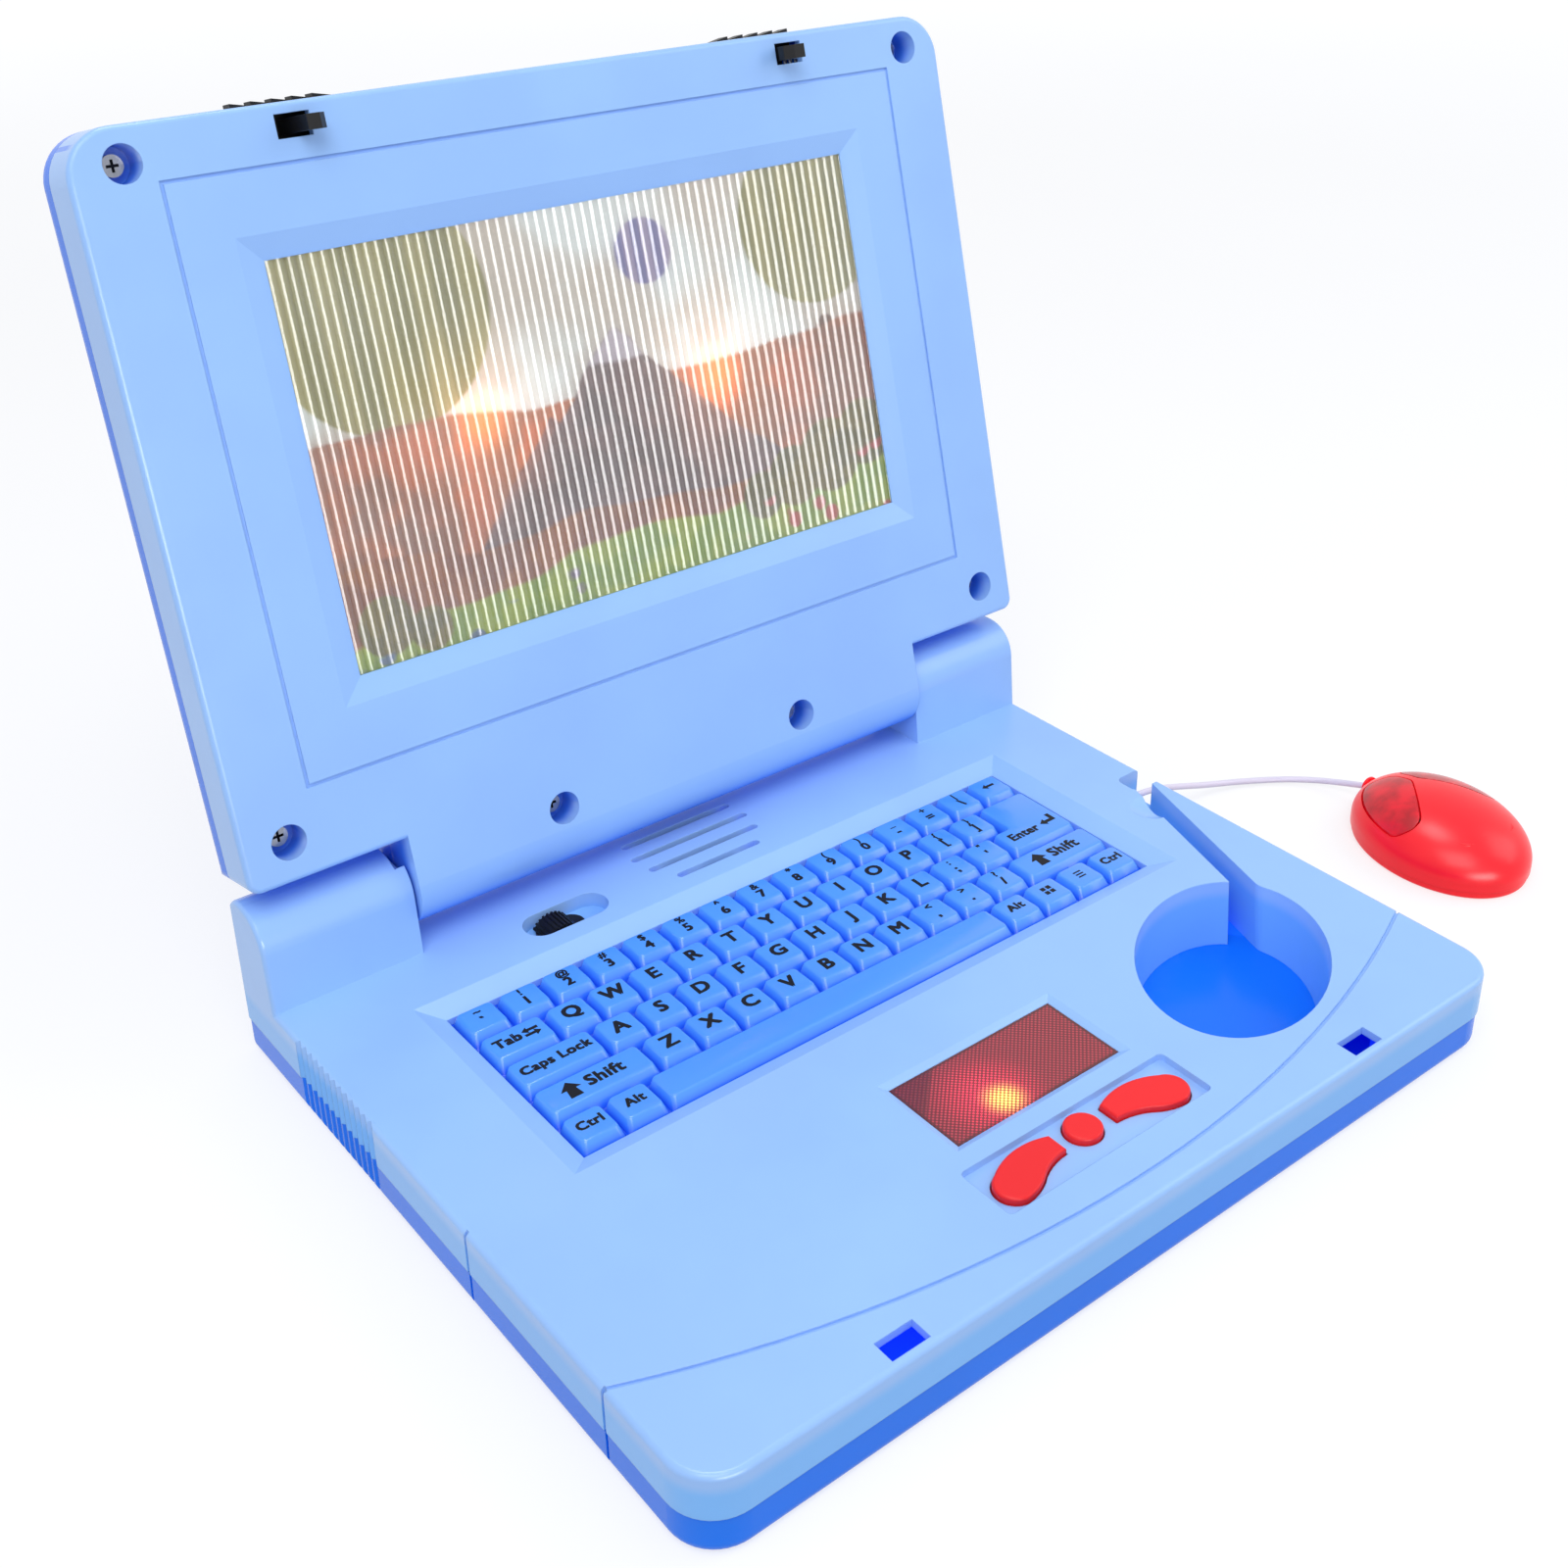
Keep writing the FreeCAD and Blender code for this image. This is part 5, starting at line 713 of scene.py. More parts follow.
# Two tones of each thing, and cells per metre of those that are mottled
TONES = {
    "sky": ((228, 220, 212), (240, 242, 242)),
    "balloon": ((174, 168, 90), (198, 190, 124)),
    "far balloon": ((140, 132, 196), (196, 180, 210)),
    "desert": ((218, 136, 70), (184, 124, 80)),
    "foothill": ((172, 124, 112), (148, 106, 98)),
    "mountain": ((158, 122, 118), (134, 102, 98)),
    "snow": ((206, 190, 204), (236, 232, 236)),
    "dunes": ((172, 98, 40), (196, 124, 44)),
    "meadow": ((160, 188, 14), (190, 204, 40)),
    "bush": ((134, 122, 10), (160, 140, 20)),
    "petals": ((112, 140, 190), (220, 96, 76)),
}
MOTTLE_CELLS = {
    "sky": 30,
    "desert": 50,
    "foothill": 90,
    "mountain": 90,
    "dunes": 70,
    "meadow": 110,
    "bush": 140,
}
MOTTLE_SPAN = (0.42, 0.58)
SNOW_CELLS = 120
# Petals: cells per metre, how unevenly they lie, their rims within a cell, and where their tones change
PETAL_CELLS = 105.0
PETAL_SCATTER = 0.9
PETAL_RIM = (0.24, 0.3)
PETAL_TURN = (-60 * MM, 50 * MM)
# Soft edges to each side: discs and land in millimetres, stripes as a share of their wave
DISC_EDGE = 0.5
LAND_EDGE = 0.7
STRIPE_EDGE = 0.2
# Lamps behind the picture: places, reach and strength of core and halo, and a painted glow over the whole
# card
LAMP_SPOTS = ((-40, 115), (35, 112))
LAMP_CORE = (12, 0.6)
LAMP_HALO = (34, 0.3)
CARD_GLOW = 0.2


def disc(tree, plane, x, y, radius):
    """1 inside a circle and 0 outside."""
    rim = ((radius - DISC_EDGE) * MM, (radius + DISC_EDGE) * MM)
    return ranged(tree, away(tree, plane, x, y), *rim, 1, 0)


def below(tree, height, limit):
    """1 below a height in millimetres and 0 above it."""
    return ranged(tree, height, (limit - LAND_EDGE) * MM, (limit + LAND_EDGE) * MM, 1, 0)


def lamp_shine(tree, plane):
    """Light of the two lamps on the picture."""
    shine = None
    for x, y in LAMP_SPOTS:
        core = math_node(tree, "MULTIPLY", glow(tree, plane, x, y, LAMP_CORE[0]), LAMP_CORE[1])
        halo = math_node(tree, "MULTIPLY", glow(tree, plane, x, y, LAMP_HALO[0]), LAMP_HALO[1])
        total = math_node(tree, "ADD", core, halo)
        shine = total if shine is None else math_node(tree, "ADD", shine, total)
    return shine


def between(tree, name, share):
    """Colour between the two tones of a thing in the picture."""
    first, second = TONES[name]
    return mix(tree, share, rgba(srgb(*first)), rgba(srgb(*second)))


def mottled(tree, plane, name):
    """Colour that changes in spots between the two tones of a thing."""
    spots = noise(tree, plane, MOTTLE_CELLS[name], 3)
    return between(tree, name, ranged(tree, spots, *MOTTLE_SPAN, 0, 1))


def striped(tree, across, name, pitch):
    """Colour that changes in upright stripes between the two tones of a thing."""
    wave = math_node(tree, "SINE", math_node(tree, "MULTIPLY", across, 2 * math.pi / (pitch * MM)))
    return between(tree, name, ranged(tree, wave, -STRIPE_EDGE, STRIPE_EDGE, 0, 1))


def bumps(tree, plane, cells, height, detail):
    """Uneven heights along the land."""
    return math_node(tree, "MULTIPLY", noise(tree, plane, cells, detail), height)


def peak(tree, plane, across, up, middle, steep, crest):
    """1 on a craggy peak and 0 around it."""
    apart = math_node(tree, "ABSOLUTE", math_node(tree, "SUBTRACT", across, middle * MM))
    height = math_node(tree, "ADD", up, math_node(tree, "MULTIPLY", apart, steep))
    return below(tree, math_node(tree, "ADD", height, bumps(tree, plane, *CRAGS, 3)), crest)


def sky_tone(tree, plane, across):
    """Sky with three balloons."""
    tone = mottled(tree, plane, "sky")
    for x, y, radius, pitch in BALLOONS:
        tone = mix(tree, disc(tree, plane, x, y, radius), tone, striped(tree, across, "balloon", pitch))
        basket = disc(tree, plane, x, y - radius - BASKET_DROP, BASKET_RADIUS)
        tone = mix(tree, basket, tone, rgba(srgb(*BASKET_TONE)))
    x, y, radius, pitch = FAR_BALLOON
    return mix(tree, disc(tree, plane, x, y, radius), tone, striped(tree, across, "far balloon", pitch))


def hills_tone(tree, plane, across, up, wavy, tone):
    """Desert, a mountain with snow and its foothill, and dunes, laid over the sky."""
    tone = mix(tree, below(tree, wavy, DESERT_TOP), tone, mottled(tree, plane, "desert"))
    foothill = peak(tree, plane, across, up, *FOOTHILL)
    tone = mix(tree, foothill, tone, mottled(tree, plane, "foothill"))
    mountain = peak(tree, plane, across, up, *MOUNTAIN)
    tone = mix(tree, mountain, tone, mottled(tree, plane, "mountain"))
    snowy = math_node(tree, "SUBTRACT", 1, below(tree, wavy, SNOW_LINE))
    cap = math_node(tree, "MULTIPLY", mountain, snowy)
    tone = mix(tree, cap, tone, between(tree, "snow", noise(tree, plane, SNOW_CELLS, 2)))
    return mix(tree, below(tree, wavy, DUNES_TOP), tone, mottled(tree, plane, "dunes"))


def meadow_tone(tree, plane, across, slope, tone):
    """Meadow with bushes and petals, laid over the hills."""
    tone = mix(tree, below(tree, slope, MEADOW_TOP), tone, mottled(tree, plane, "meadow"))
    for x, y, radius in BUSHES:
        tone = mix(tree, disc(tree, plane, x, y, radius), tone, mottled(tree, plane, "bush"))
    scatter = {"Vector": plane, "Scale": PETAL_CELLS, "Randomness": PETAL_SCATTER}
    cells = add(tree, "ShaderNodeTexVoronoi", scatter)
    petal = ranged(tree, cells.outputs["Distance"], *PETAL_RIM, 1, 0)
    petal = math_node(tree, "MULTIPLY", petal, below(tree, slope, PETALS_TOP))
    return mix(tree, petal, tone, between(tree, "petals", ranged(tree, across, *PETAL_TURN, 0, 1)))


def picture_paint(colours):
    """Printed landscape with balloons, and two lamps glowing through it."""
    material, tree, out = blank("picture_print")
    plane = lid_plane(tree)
    split = add(tree, "ShaderNodeSeparateXYZ", {0: plane})
    across, up = split.outputs[0], split.outputs[1]
    wavy = math_node(tree, "ADD", up, bumps(tree, plane, *WAVES, 2))
    slope = math_node(tree, "SUBTRACT", wavy, math_node(tree, "MULTIPLY", across, MEADOW_RISE))
    tone = sky_tone(tree, plane, across)
    tone = hills_tone(tree, plane, across, up, wavy, tone)
    tone = meadow_tone(tree, plane, across, slope, tone)
    shine = lamp_shine(tree, plane)
    # Painted light: the lamps' glow and an even glow over the whole card are given as its emission
    bright = math_node(tree, "ADD", shine, CARD_GLOW)
    shone = mix(tree, shine, tone, rgba(colours.lamp))
    sockets = {"Base Color": tone, "Roughness": 0.5, "Emission Color": shone, "Emission Strength": bright}
    body = add(tree, "ShaderNodeBsdfPrincipled", sockets)
    tree.links.new(body.outputs[0], out.inputs[0])
    return material


# Ribbed lens: tints of its clear and its hazy share, cells per metre and share of the haze, gloss
LENS_TINT = (0.96, 0.97, 0.96, 1)
HAZE_TINT = (0.9, 0.92, 0.9, 1)
HAZE_CELLS = 40
HAZE_SHARE = (0.1, 0.16)
LENS_ROUGHNESS = 0.1
LENS_IOR = 1.6


def ribbed_clear(name):
    """Clear plastic: mostly see-through, with a haze and a sharp sheen on its ribs."""
    material, tree, out = blank(name)
    coords = object_coords(tree)
    haze = drifting(tree, coords, HAZE_CELLS, *HAZE_SHARE)
    clear = add(tree, "ShaderNodeBsdfTransparent", {"Color": LENS_TINT})
    milky = add(tree, "ShaderNodeBsdfDiffuse", {"Color": HAZE_TINT})
    body = add(tree, "ShaderNodeMixShader", {0: haze, 1: clear.outputs[0], 2: milky.outputs[0]})
    gloss = add(tree, "ShaderNodeBsdfGlossy", {"Color": WHITE, "Roughness": LENS_ROUGHNESS})
    edge = add(tree, "ShaderNodeFresnel", {"IOR": LENS_IOR})
    sheen = add(tree, "ShaderNodeMixShader", {0: edge.outputs[0], 1: body.outputs[0], 2: gloss.outputs[0]})
    tree.links.new(sheen.outputs[0], out.inputs[0])
    return material


def ribbed_sheet(shape, low, high, sizes):
    """Adds a sheet that fills a box, with round ribs along y on its upper face."""
    count = round((high.x - low.x) / sizes.rib_pitch)
    pitch = (high.x - low.x) / count
    radius = ((pitch / 2) ** 2 + sizes.rib_height ** 2) / (2 * sizes.rib_height)
    verts = [shape.verts.new(low)]
    for rib in range(count):
        for step in range(sizes.rib_steps):
            share = step / sizes.rib_steps
            drop = radius - math.sqrt(radius ** 2 - ((share - 0.5) * pitch) ** 2)
            verts.append(shape.verts.new((low.x + (rib + share) * pitch, low.y, high.z - drop)))
    verts.append(shape.verts.new((high.x, low.y, high.z - sizes.rib_height)))
    verts.append(shape.verts.new((high.x, low.y, low.z)))
    face = shape.faces.new(verts)
    drawn = bmesh.ops.extrude_face_region(shape, geom=[face])["geom"]
    far = [v for v in drawn if isinstance(v, bmesh.types.BMVert)]
    bmesh.ops.translate(shape, vec=(0, high.y - low.y, 0), verts=far)
    bmesh.ops.recalc_face_normals(shape, faces=shape.faces)


class TOYLAPTOP_OT_screen(Operator):
    """Models the ribbed screen and paints the picture behind it"""

    bl_idname = "toylaptop.screen"
    bl_label = "Screen"

    def execute(self, context):
        shape = bmesh.new()
        ribbed_sheet(shape, *lid_box("screen_lens"), looks().sizes)
        shape.transform(lid_matrix())
        finish_piece("screen_ribs", shape, ribbed_clear("ribbed_lens"), "lid", ["screen_lens"],
                     smooth=60)
        paint("screen_picture_card", picture_paint(looks().colours))
        return {"FINISHED"}


# Window: lap under the case, pitch and turn of its dots, and the stretch of their wave that counts
WINDOW_LAP = 2.65 * MM
DOT_PITCH = 0.95 * MM
DOT_TURN = 45
DOT_SPAN = (-0.2, 1.2)
DOT_RELIEF = 0.2
DOT_DEPTH = 0.1 * MM
# Tones of the window: ground between the dots, dots, painted shadow in the back left corner, and painted
# shade along the rim
GROUND_TONES = ((86, 14, 30), (112, 28, 42))
GROUND_CELLS = 60
DOT_TONE = (196, 52, 66)
SHADOW_TONE = (58, 6, 24)
RIM_SHADE_TONE = (60, 2, 14)
# Shadow: how its edge slants, where it lies, and its share; rim shade: where it starts and ends, and its
# share
SHADOW_SLANT = 0.95
SHADOW_EDGE = (-26.5 * MM, -25.5 * MM)
SHADOW_SHARE = 0.6
RIM_SHADE_EDGE = (1.0 * MM, 0.5 * MM)
RIM_SHADE_SHARE = 0.85
# Lamp below the window: places in millimetres, reach and strength of core and halo, and their tones
PAD_LAMP = (-7, -58)
PAD_HALO = (-9, -55)
CORE_REACH = 8
CORE_STRENGTH = 3.4
CORE_TONE = (255, 206, 84)
HALO_REACH = 17
HALO_STRENGTH = 1.5
HALO_TONE = (255, 36, 78)
# Light that comes through the dots, between them, and all over
DOT_LIGHT = 0.92
GROUND_LIGHT = 0.08
WINDOW_GLOW = 0.05


def window_dots(tree, coords):
    """Lattice of round dots: 1 on a dot and 0 between them."""
    turn = {"Vector": coords, "Rotation": (0, 0, math.radians(DOT_TURN))}
    lattice = add(tree, "ShaderNodeMapping", turn).outputs[0]
    split = add(tree, "ShaderNodeSeparateXYZ", {0: lattice})
    rows = []
    for axis in (0, 1):
        phase = math_node(tree, "MULTIPLY", split.outputs[axis], 2 * math.pi / DOT_PITCH)
        rows.append(math_node(tree, "SINE", phase))
    return ranged(tree, math_node(tree, "ADD", *rows), *DOT_SPAN, 0, 1)


def window_tone(tree, coords, dots):
    """Colour of the unlit window, with painted shade in its back left corner and along its rim."""
    drift = noise(tree, coords, GROUND_CELLS, 3)
    ground = mix(tree, drift, *(rgba(srgb(*tone)) for tone in GROUND_TONES))
    tone = mix(tree, dots, ground, rgba(srgb(*DOT_TONE)))
    # Painted shadow across the back left corner
    split = add(tree, "ShaderNodeSeparateXYZ", {0: coords})
    aside = math_node(tree, "MULTIPLY", split.outputs[0], SHADOW_SLANT)
    slant = math_node(tree, "SUBTRACT", split.outputs[1], aside)
    shadow = ranged(tree, slant, *SHADOW_EDGE, 0, SHADOW_SHARE)
    tone = mix(tree, shadow, tone, rgba(srgb(*SHADOW_TONE)))
    # Painted shade along the rim of the window's visible part
    low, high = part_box("touchpad_window")
    for axis in (0, 1):
        middle = (low[axis] + high[axis]) / 2
        apart = math_node(tree, "ABSOLUTE", math_node(tree, "SUBTRACT", split.outputs[axis], middle))
        half = (high[axis] - low[axis]) / 2 - WINDOW_LAP
        rim = ranged(tree, apart, half - RIM_SHADE_EDGE[0], half - RIM_SHADE_EDGE[1], 0, RIM_SHADE_SHARE)
        tone = mix(tree, rim, tone, rgba(srgb(*RIM_SHADE_TONE)))
    return tone


def window_paint():
    """Red window with a fine lattice of dots, lit by the lamp below it."""
    material, tree, out = blank("red_window")
    coords = object_coords(tree)
    dots = window_dots(tree, coords)
    tone = window_tone(tree, coords, dots)
    core = glow(tree, coords, *PAD_LAMP, CORE_REACH)
    halo = glow(tree, coords, *PAD_HALO, HALO_REACH)
    near = math_node(tree, "MULTIPLY", core, CORE_STRENGTH)
    lit = math_node(tree, "ADD", near, math_node(tree, "MULTIPLY", halo, HALO_STRENGTH))
    holes = math_node(tree, "ADD", math_node(tree, "MULTIPLY", dots, DOT_LIGHT), GROUND_LIGHT)
    lit = math_node(tree, "MULTIPLY", lit, holes)
    lit = math_node(tree, "ADD", lit, WINDOW_GLOW)
    hot = mix(tree, core, rgba(srgb(*HALO_TONE)), rgba(srgb(*CORE_TONE)))
    relief = {"Strength": DOT_RELIEF, "Distance": DOT_DEPTH, "Height": dots}
    bump = add(tree, "ShaderNodeBump", relief)
    sockets = {"Base Color": tone, "Roughness": 0.22, "Emission Color": hot, "Emission Strength": lit,
               "Normal": bump.outputs[0], "Coat Weight": 0.25, "Coat Roughness": 0.05}
    body = add(tree, "ShaderNodeBsdfPrincipled", sockets)
    tree.links.new(body.outputs[0], out.inputs[0])
    return material


class TOYLAPTOP_OT_controls(Operator):
    """Finishes the window, the buttons, the switch and the latches"""

    bl_idname = "toylaptop.controls"
    bl_label = "Controls"

    def execute(self, context):
        colours = looks().colours
        paint("touchpad_window", window_paint())
        red = moulded("button_red", colours.buttons, rough=0.36, tint=0.06, edge=0.3,
                      **{"Specular IOR Level": 0.25})
        for node in ("left_button", "center_button", "right_button"):
            paint(node, red)
        black = moulded("black_plastic", colours.black, rough=0.42, tint=0.15, edge=0.2,
                        **{"Specular IOR Level": 0.25})
        for node in ("power_switch_knob", "left_latch", "right_latch", "base_cord_grommet", "mouse_switches",
                     "main_board_chips"):
            paint(node, black)
        return {"FINISHED"}


class TOYLAPTOP_OT_insides(Operator):
    """Finishes the screws, springs, boards, cells and the speaker"""

    bl_idname = "toylaptop.insides"
    bl_label = "Insides"

    def execute(self, context):
        steel = metal("screw_steel", srgb(112, 113, 120), 0.2)
        crossed = metal("cross_screw_steel", srgb(142, 146, 158), 0.2)
        # Painted shade: the cross in the lid screws' heads darkens below their tops
        head = lid_box("lid_screws")[1].z
        shade_below(crossed, srgb(22, 24, 32), *(head - depth for depth in CROSS_SHADE), lid_plane)
        plated = metal("plated_sheet", srgb(200, 198, 190), 0.35, 500)
        board = moulded("solder_mask", srgb(34, 104, 56), rough=0.3, tint=0.2, grain=0.2, edge=0.05)
        rubber = moulded("silicone", srgb(196, 196, 190), rough=0.7, tint=0.06, grain=0.1, edge=0.1)
        paper = moulded("cone_paper", srgb(52, 48, 46), rough=0.9, tint=0.25, grain=0.6, edge=0.05)
        ferrite = moulded("ferrite", srgb(70, 70, 74), rough=0.6, tint=0.15, grain=0.4, edge=0.2)
        jacket = moulded("cell_jacket", srgb(58, 64, 78), rough=0.25, tint=0.1, grain=0.02, edge=0.2)
        lamp = moulded("lamp_body", srgb(255, 214, 150), rough=0.15, tint=0.05, grain=0.0, edge=0.05)
        finishes = {
            steel: ("battery_cover_screw", "base_screws", "hinge_pins", "left_latch_spring",
                    "right_latch_spring", "mouse_screws"),
            crossed: ("lid_screws",),
            plated: ("power_switch_body", "speaker_frame", "battery_plate_contacts",
                     "battery_spring_contacts"),
            board: ("button_board", "main_board", "screen_lamp_board", "mouse_board"),
            rubber: ("button_membrane",),
            paper: ("speaker_cone",),
            ferrite: ("speaker_magnet",),
            jacket: ("battery_cells",),
            lamp: ("touchpad_lamp", "screen_lamps"),
        }
        for material, nodes in finishes.items():
            for node in nodes:
                paint(node, material)
        return {"FINISHED"}


# Latch springs: radius of the wire in millimetres, turns, and facets of a turn and of the wire
SPRING_WIRE = 0.3
SPRING_TURNS = 6
TURN_STEPS = 20
WIRE_STEPS = 8


def coil(shape, low, high):
    """Adds a coil spring that lies along x and fills a box."""
    wire = SPRING_WIRE * MM
    middle = (low + high) / 2
    top = Vector((low.x + wire, middle.y, high.z - wire))
    across = Matrix.Translation(top) @ Matrix.Rotation(math.pi / 2, 4, "X")
    ring = bmesh.ops.create_circle(shape, segments=WIRE_STEPS, radius=wire, matrix=across)["verts"]
    edges = list({e for v in ring for e in v.link_edges})
    steps = SPRING_TURNS * TURN_STEPS
    rise = (high.x - low.x - 2 * wire) / steps
    bmesh.ops.spin(shape, geom=ring + edges, cent=middle, axis=(1, 0, 0), dvec=(rise, 0, 0),
                   angle=2 * math.pi * SPRING_TURNS, steps=steps)
    bmesh.ops.holes_fill(shape, edges=[e for e in shape.edges if e.is_boundary])
    bmesh.ops.recalc_face_normals(shape, faces=shape.faces)


class TOYLAPTOP_OT_springs(Operator):
    """Models the latch springs, which the slides press together"""

    bl_idname = "toylaptop.springs"
    bl_label = "Latch springs"

    def execute(self, context):
        steel = bpy.data.materials["screw_steel"]
        for side, fixed in (("left", 0), ("right", 1)):
            node = side + "_latch_spring"
            corners = [Vector(corner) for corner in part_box(node)]
            shape = bmesh.new()
            coil(shape, *corners)
            piece = finish_piece(side + "_spring_coil", shape, steel, "lid", [node])
            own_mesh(piece)
        return {"FINISHED"}


class TOYLAPTOP_OT_mouse(Operator):
    """Finishes the mouse"""

    bl_idname = "toylaptop.mouse"
    bl_label = "Mouse"

    def execute(self, context):
        # Painted light: the red shells glow faintly in their own colour, standing in for light through the
        # translucent plastic
        red = moulded("mouse_red", looks().colours.mouse, rough=0.3, tint=0.06, edge=0.3, cells=60,
                      **{"Specular IOR Level": 0.4, "Emission Color": rgba(looks().colours.mouse),
                         "Emission Strength": 0.18})
        deep = moulded("mouse_key_red", looks().colours.mouse_keys, rough=0.22, tint=0.3, edge=0.3, cells=140,
                       **{"Specular IOR Level": 0.4})
        for node in ("mouse_top_shell", "mouse_bottom_plate", "mouse_cord_grommet"):
            paint(node, red)
        for node in ("mouse_left_button", "mouse_right_button"):
            paint(node, deep)
        return {"FINISHED"}


# Route of the mouse cord, in millimetres
CORD_ROUTE = (
    (121.2, 22.4, 17.2),
    (131.0, 22.8, 16.6),
    (146.0, 25.0, 10.8),
    (162.0, 26.2, 4.6),
    (178.0, 22.4, 1.8),
    (191.5, 13.6, 1.6),
    (199.5, 2.0, 2.9),
    (201.4, -10.4, 6.0),
)


class TOYLAPTOP_OT_cord(Operator):
    """Lays the cord from the base to the mouse"""

    bl_idname = "toylaptop.cord"
    bl_label = "Cord"

    def execute(self, context):
        diameter = looks().sizes.cord_diameter
        curve = bpy.data.curves.new("cord", "CURVE")
        curve.dimensions = "3D"
        spline = curve.splines.new("NURBS")
        spline.points.add(len(CORD_ROUTE) - 1)
        for point, place in zip(spline.points, CORD_ROUTE):
            point.co = [c * MM for c in place] + [1]
        spline.order_u = 3
        spline.use_endpoint_u = True
        spline.resolution_u = 10
        curve.bevel_depth = diameter / 2
        curve.bevel_resolution = 4
        curve.use_fill_caps = True
        sleeve = moulded("cord_vinyl", looks().colours.cord, rough=0.4, tint=0.04, grain=0.05, edge=0.05)
        curve.materials.append(sleeve)
        piece = bpy.data.objects.new("cord", curve)
        bpy.context.scene.collection.objects.link(piece)
        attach(piece, "mouse")
        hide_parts("mouse_cord")
        return {"FINISHED"}


# Camera of the photograph: place and near limit in metres, angles in degrees, lens and sensor in millimetres
# The shift is a share of the sensor
CAMERA_PLACE = (-0.266945, -0.317593, 0.331869)
CAMERA_TILT = 63.873
CAMERA_TURN = -39.486
CAMERA_LENS = 44.29
CAMERA_SHIFT = (-0.04689, -0.11077)
CAMERA_SENSOR = 36
CAMERA_NEAR = 0.01
# Floor: half its side and its drop in metres, its greys, its light as seen from near to far, and as it shines
FLOOR_HALF = 6
FLOOR_DROP = 0.0002
FLOOR_CELLS = 3
FLOOR_GREYS = ((0.34, 0.34, 0.34, 1), (0.36, 0.36, 0.36, 1))
FLOOR_REACH = (0.6, 2.5)
FLOOR_GLOW = (0.68, 0.83)
FLOOR_FILL = 0.25
# Sky: strength and tint as it shines and as it is seen
SKY_STRENGTH = (0.62, 1.0)
SKY_TINTS = ((0.94, 0.98, 1.08, 1), WHITE)
# Lamp panels, and cards that show only in gloss: place, target, width and height in metres, and watts
LAMPS = {
    "key_panel": ((-0.5, -0.5, 1.1), (0, 0, 0.05), 0.8, 0.8, 7),
    "side_panel": ((0.9, -0.5, 0.8), (0, 0.05, 0.1), 0.7, 0.7, 3),
}
CARDS = {
    "front_card": ((-0.33, -1.18, 0.28), (0, 0.12, 0.16), 0.8, 0.42, 11),
    "top_card": ((0.12, 0.3, 1.3), (0, 0, 0), 0.4, 0.4, 4),
}


def seen_rays(tree):
    """1 for rays that come straight, by a mirror or through glass from the camera."""
    path = add(tree, "ShaderNodeLightPath")
    some = math_node(tree, "MAXIMUM", path.outputs["Is Camera Ray"], path.outputs["Is Glossy Ray"])
    return math_node(tree, "MAXIMUM", some, path.outputs["Is Transmission Ray"])


def panel_light(name, place, target, size, tall, power):
    """Soft lamp panel turned to a point."""
    data = bpy.data.lights.new(name, "AREA")
    data.shape = "RECTANGLE"
    data.size = size
    data.size_y = tall
    data.energy = power
    lamp = bpy.data.objects.new(name, data)
    lamp.location = place
    lamp.rotation_euler = (Vector(target) - Vector(place)).to_track_quat("-Z", "Y").to_euler()
    lamp.visible_camera = False
    bpy.context.scene.collection.objects.link(lamp)
    return lamp


def floor_paint():
    """Matt white floor with a light of its own, which looks brighter than it shines."""
    material, tree, out = blank("floor_white")
    coords = object_coords(tree)
    tone = mix(tree, noise(tree, coords, FLOOR_CELLS), *FLOOR_GREYS)
    matt = add(tree, "ShaderNodeBsdfDiffuse", {"Color": tone})
    shown = ranged(tree, away(tree, coords, 0, 0), *FLOOR_REACH, *FLOOR_GLOW)
    seen = seen_rays(tree)
    extra = math_node(tree, "SUBTRACT", shown, FLOOR_FILL)
    strength = math_node(tree, "MULTIPLY_ADD", seen, extra, FLOOR_FILL)
    fill = add(tree, "ShaderNodeEmission", {"Color": WHITE, "Strength": strength})
    both = add(tree, "ShaderNodeAddShader", {0: matt.outputs[0], 1: fill.outputs[0]})
    tree.links.new(both.outputs[0], out.inputs[0])
    return material


def lay_floor(scene):
    """Lays the floor just below the object."""
    shape = bmesh.new()
    bmesh.ops.create_grid(shape, x_segments=1, y_segments=1, size=FLOOR_HALF)
    bmesh.ops.translate(shape, vec=(0, 0, -FLOOR_DROP), verts=shape.verts)
    mesh = bpy.data.meshes.new("floor")
    shape.to_mesh(mesh)
    shape.free()
    mesh.materials.append(floor_paint())
    floor = bpy.data.objects.new("floor", mesh)
    scene.collection.objects.link(floor)


def light_sky(scene):
    """Lights the scene evenly, by a sky that looks brighter than it shines."""
    world = bpy.data.worlds.new("studio")
    world.use_nodes = True
    tree = world.node_tree
    tree.nodes.clear()
    seen = seen_rays(tree)
    strength = ranged(tree, seen, 0, 1, *SKY_STRENGTH)
    tint = mix(tree, seen, *SKY_TINTS)
    sky = add(tree, "ShaderNodeBackground", {"Color": tint, "Strength": strength})
    add(tree, "ShaderNodeOutputWorld", {0: sky.outputs[0]})
    scene.world = world


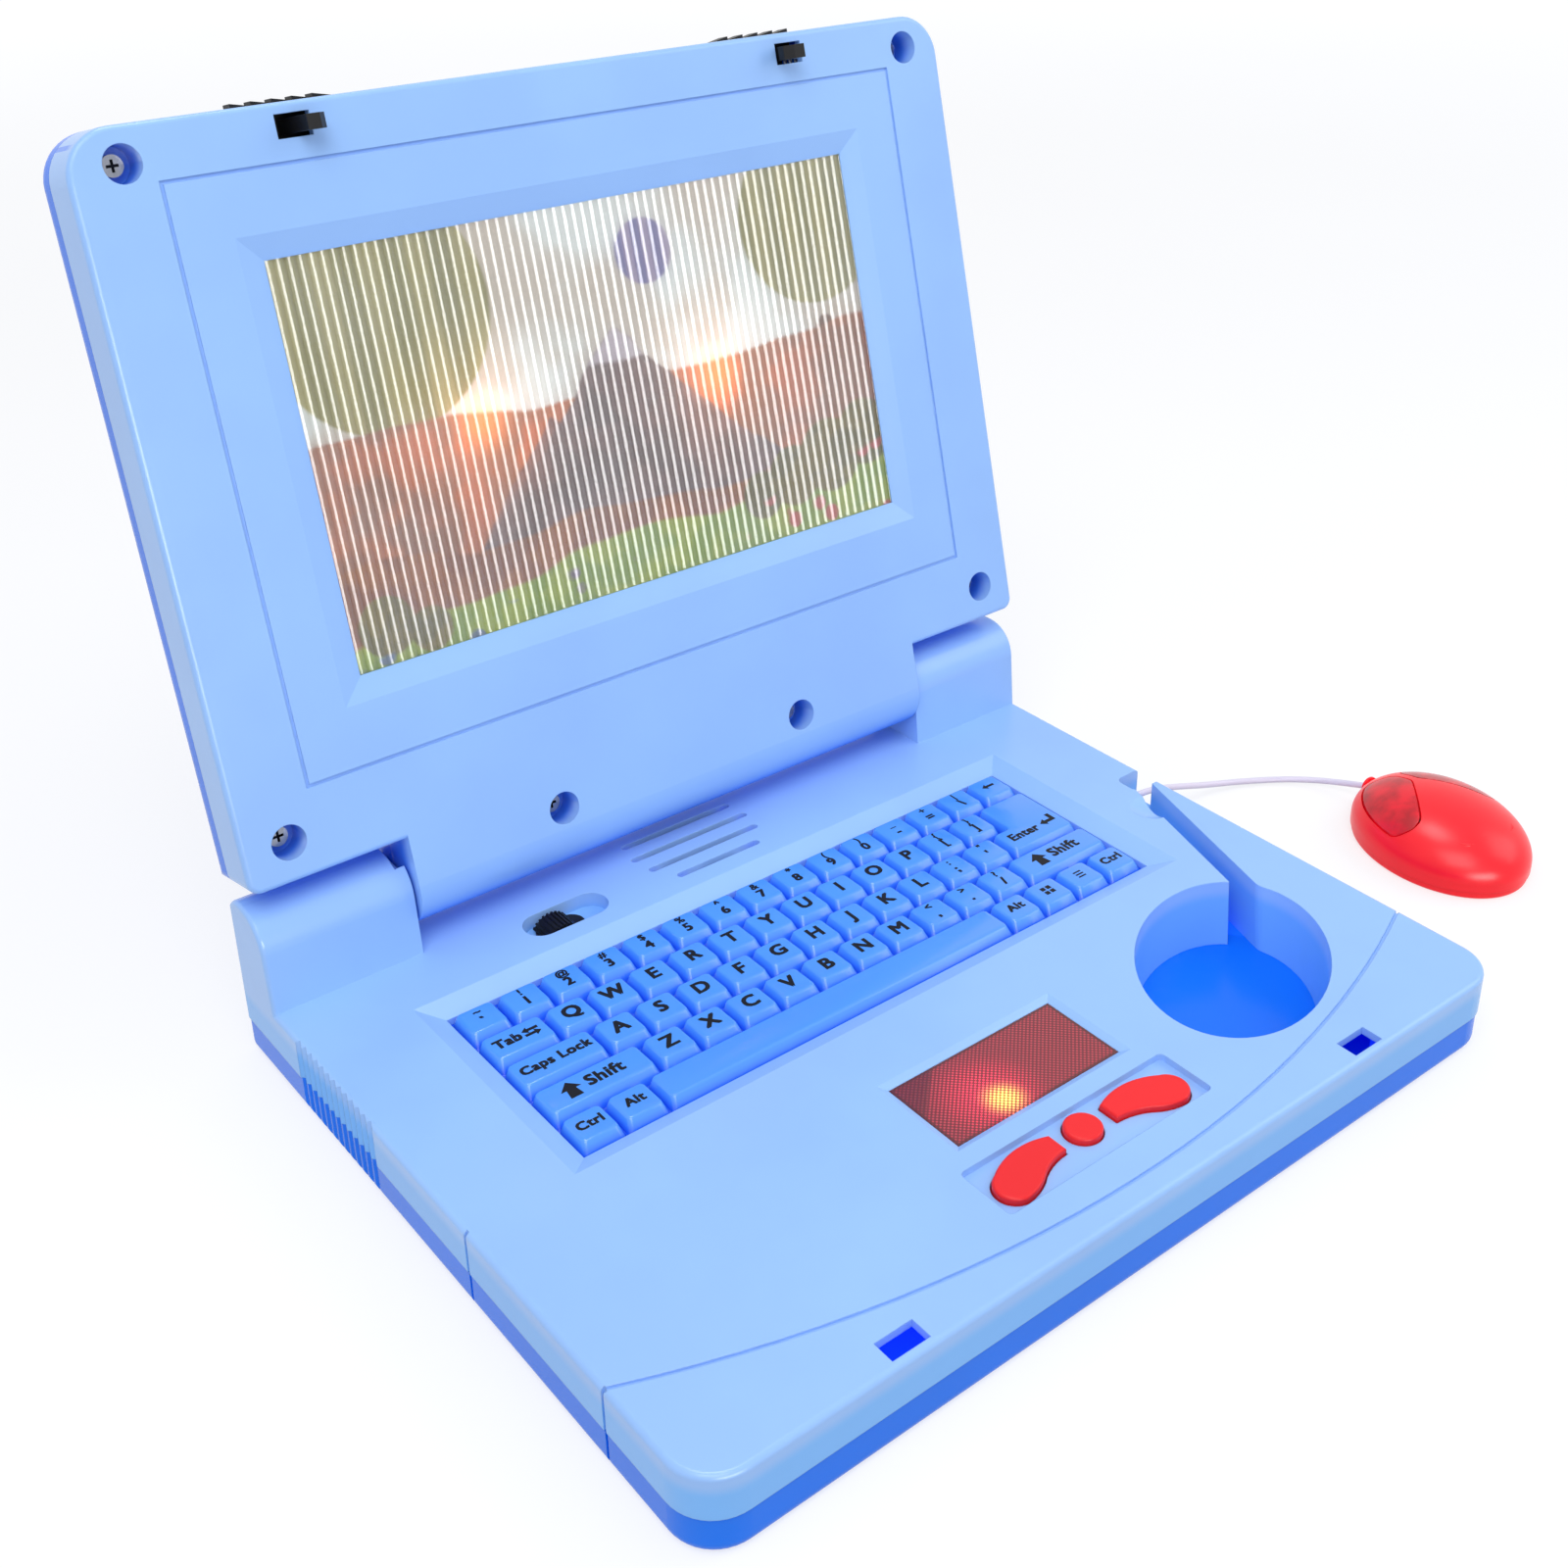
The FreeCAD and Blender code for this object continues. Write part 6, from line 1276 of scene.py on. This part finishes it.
def set_camera(scene):
    """Sets up the camera of the photograph."""
    data = bpy.data.cameras.new("camera")
    data.sensor_width = CAMERA_SENSOR
    data.lens = CAMERA_LENS
    data.shift_x, data.shift_y = CAMERA_SHIFT
    data.clip_start = CAMERA_NEAR
    camera = bpy.data.objects.new("camera", data)
    camera.location = CAMERA_PLACE
    camera.rotation_euler = (math.radians(CAMERA_TILT), 0, math.radians(CAMERA_TURN))
    scene.collection.objects.link(camera)
    scene.camera = camera


class TOYLAPTOP_OT_stage(Operator):
    """Sets up the floor, the light and the camera"""

    bl_idname = "toylaptop.stage"
    bl_label = "Stage"

    def execute(self, context):
        scene = context.scene
        scene.view_settings.view_transform = "Standard"
        lay_floor(scene)
        light_sky(scene)
        for name, settings in LAMPS.items():
            panel_light(name, *settings)
        for name, settings in CARDS.items():
            panel_light(name, *settings).visible_diffuse = False
        set_camera(scene)
        return {"FINISHED"}


class TOYLAPTOP_PT_sidebar(Panel):
    """Lists the steps in the sidebar"""

    bl_idname = "TOYLAPTOP_PT_sidebar"
    bl_label = "Toy laptop"
    bl_space_type = "VIEW_3D"
    bl_region_type = "UI"
    bl_category = "Toy laptop"

    def draw(self, context):
        for group in (looks().colours, looks().sizes):
            for name in group.bl_rna.properties.keys():
                if name not in ("rna_type", "name"):
                    self.layout.prop(group, name)
        for operator in OPERATORS:
            self.layout.operator(operator.bl_idname)


OPERATORS = (
    TOYLAPTOP_OT_shells,
    TOYLAPTOP_OT_keyboard,
    TOYLAPTOP_OT_legends,
    TOYLAPTOP_OT_screen,
    TOYLAPTOP_OT_controls,
    TOYLAPTOP_OT_insides,
    TOYLAPTOP_OT_springs,
    TOYLAPTOP_OT_mouse,
    TOYLAPTOP_OT_cord,
    TOYLAPTOP_OT_stage,
)
CLASSES = (ToyLaptopColours, ToyLaptopSizes, ToyLaptopLooks) + OPERATORS + (TOYLAPTOP_PT_sidebar,)


def register():
    """Registers the classes and the settings."""
    for item in CLASSES:
        bpy.utils.register_class(item)
    bpy.types.Scene.toy_laptop = PointerProperty(type=ToyLaptopLooks)


def unregister():
    """Removes the settings and the classes."""
    del bpy.types.Scene.toy_laptop
    for item in reversed(CLASSES):
        bpy.utils.unregister_class(item)


def main():
    """Runs every step in order."""
    register()
    for operator in OPERATORS:
        group, name = operator.bl_idname.split(".")
        getattr(getattr(bpy.ops, group), name)()


if __name__ == "__main__":
    main()
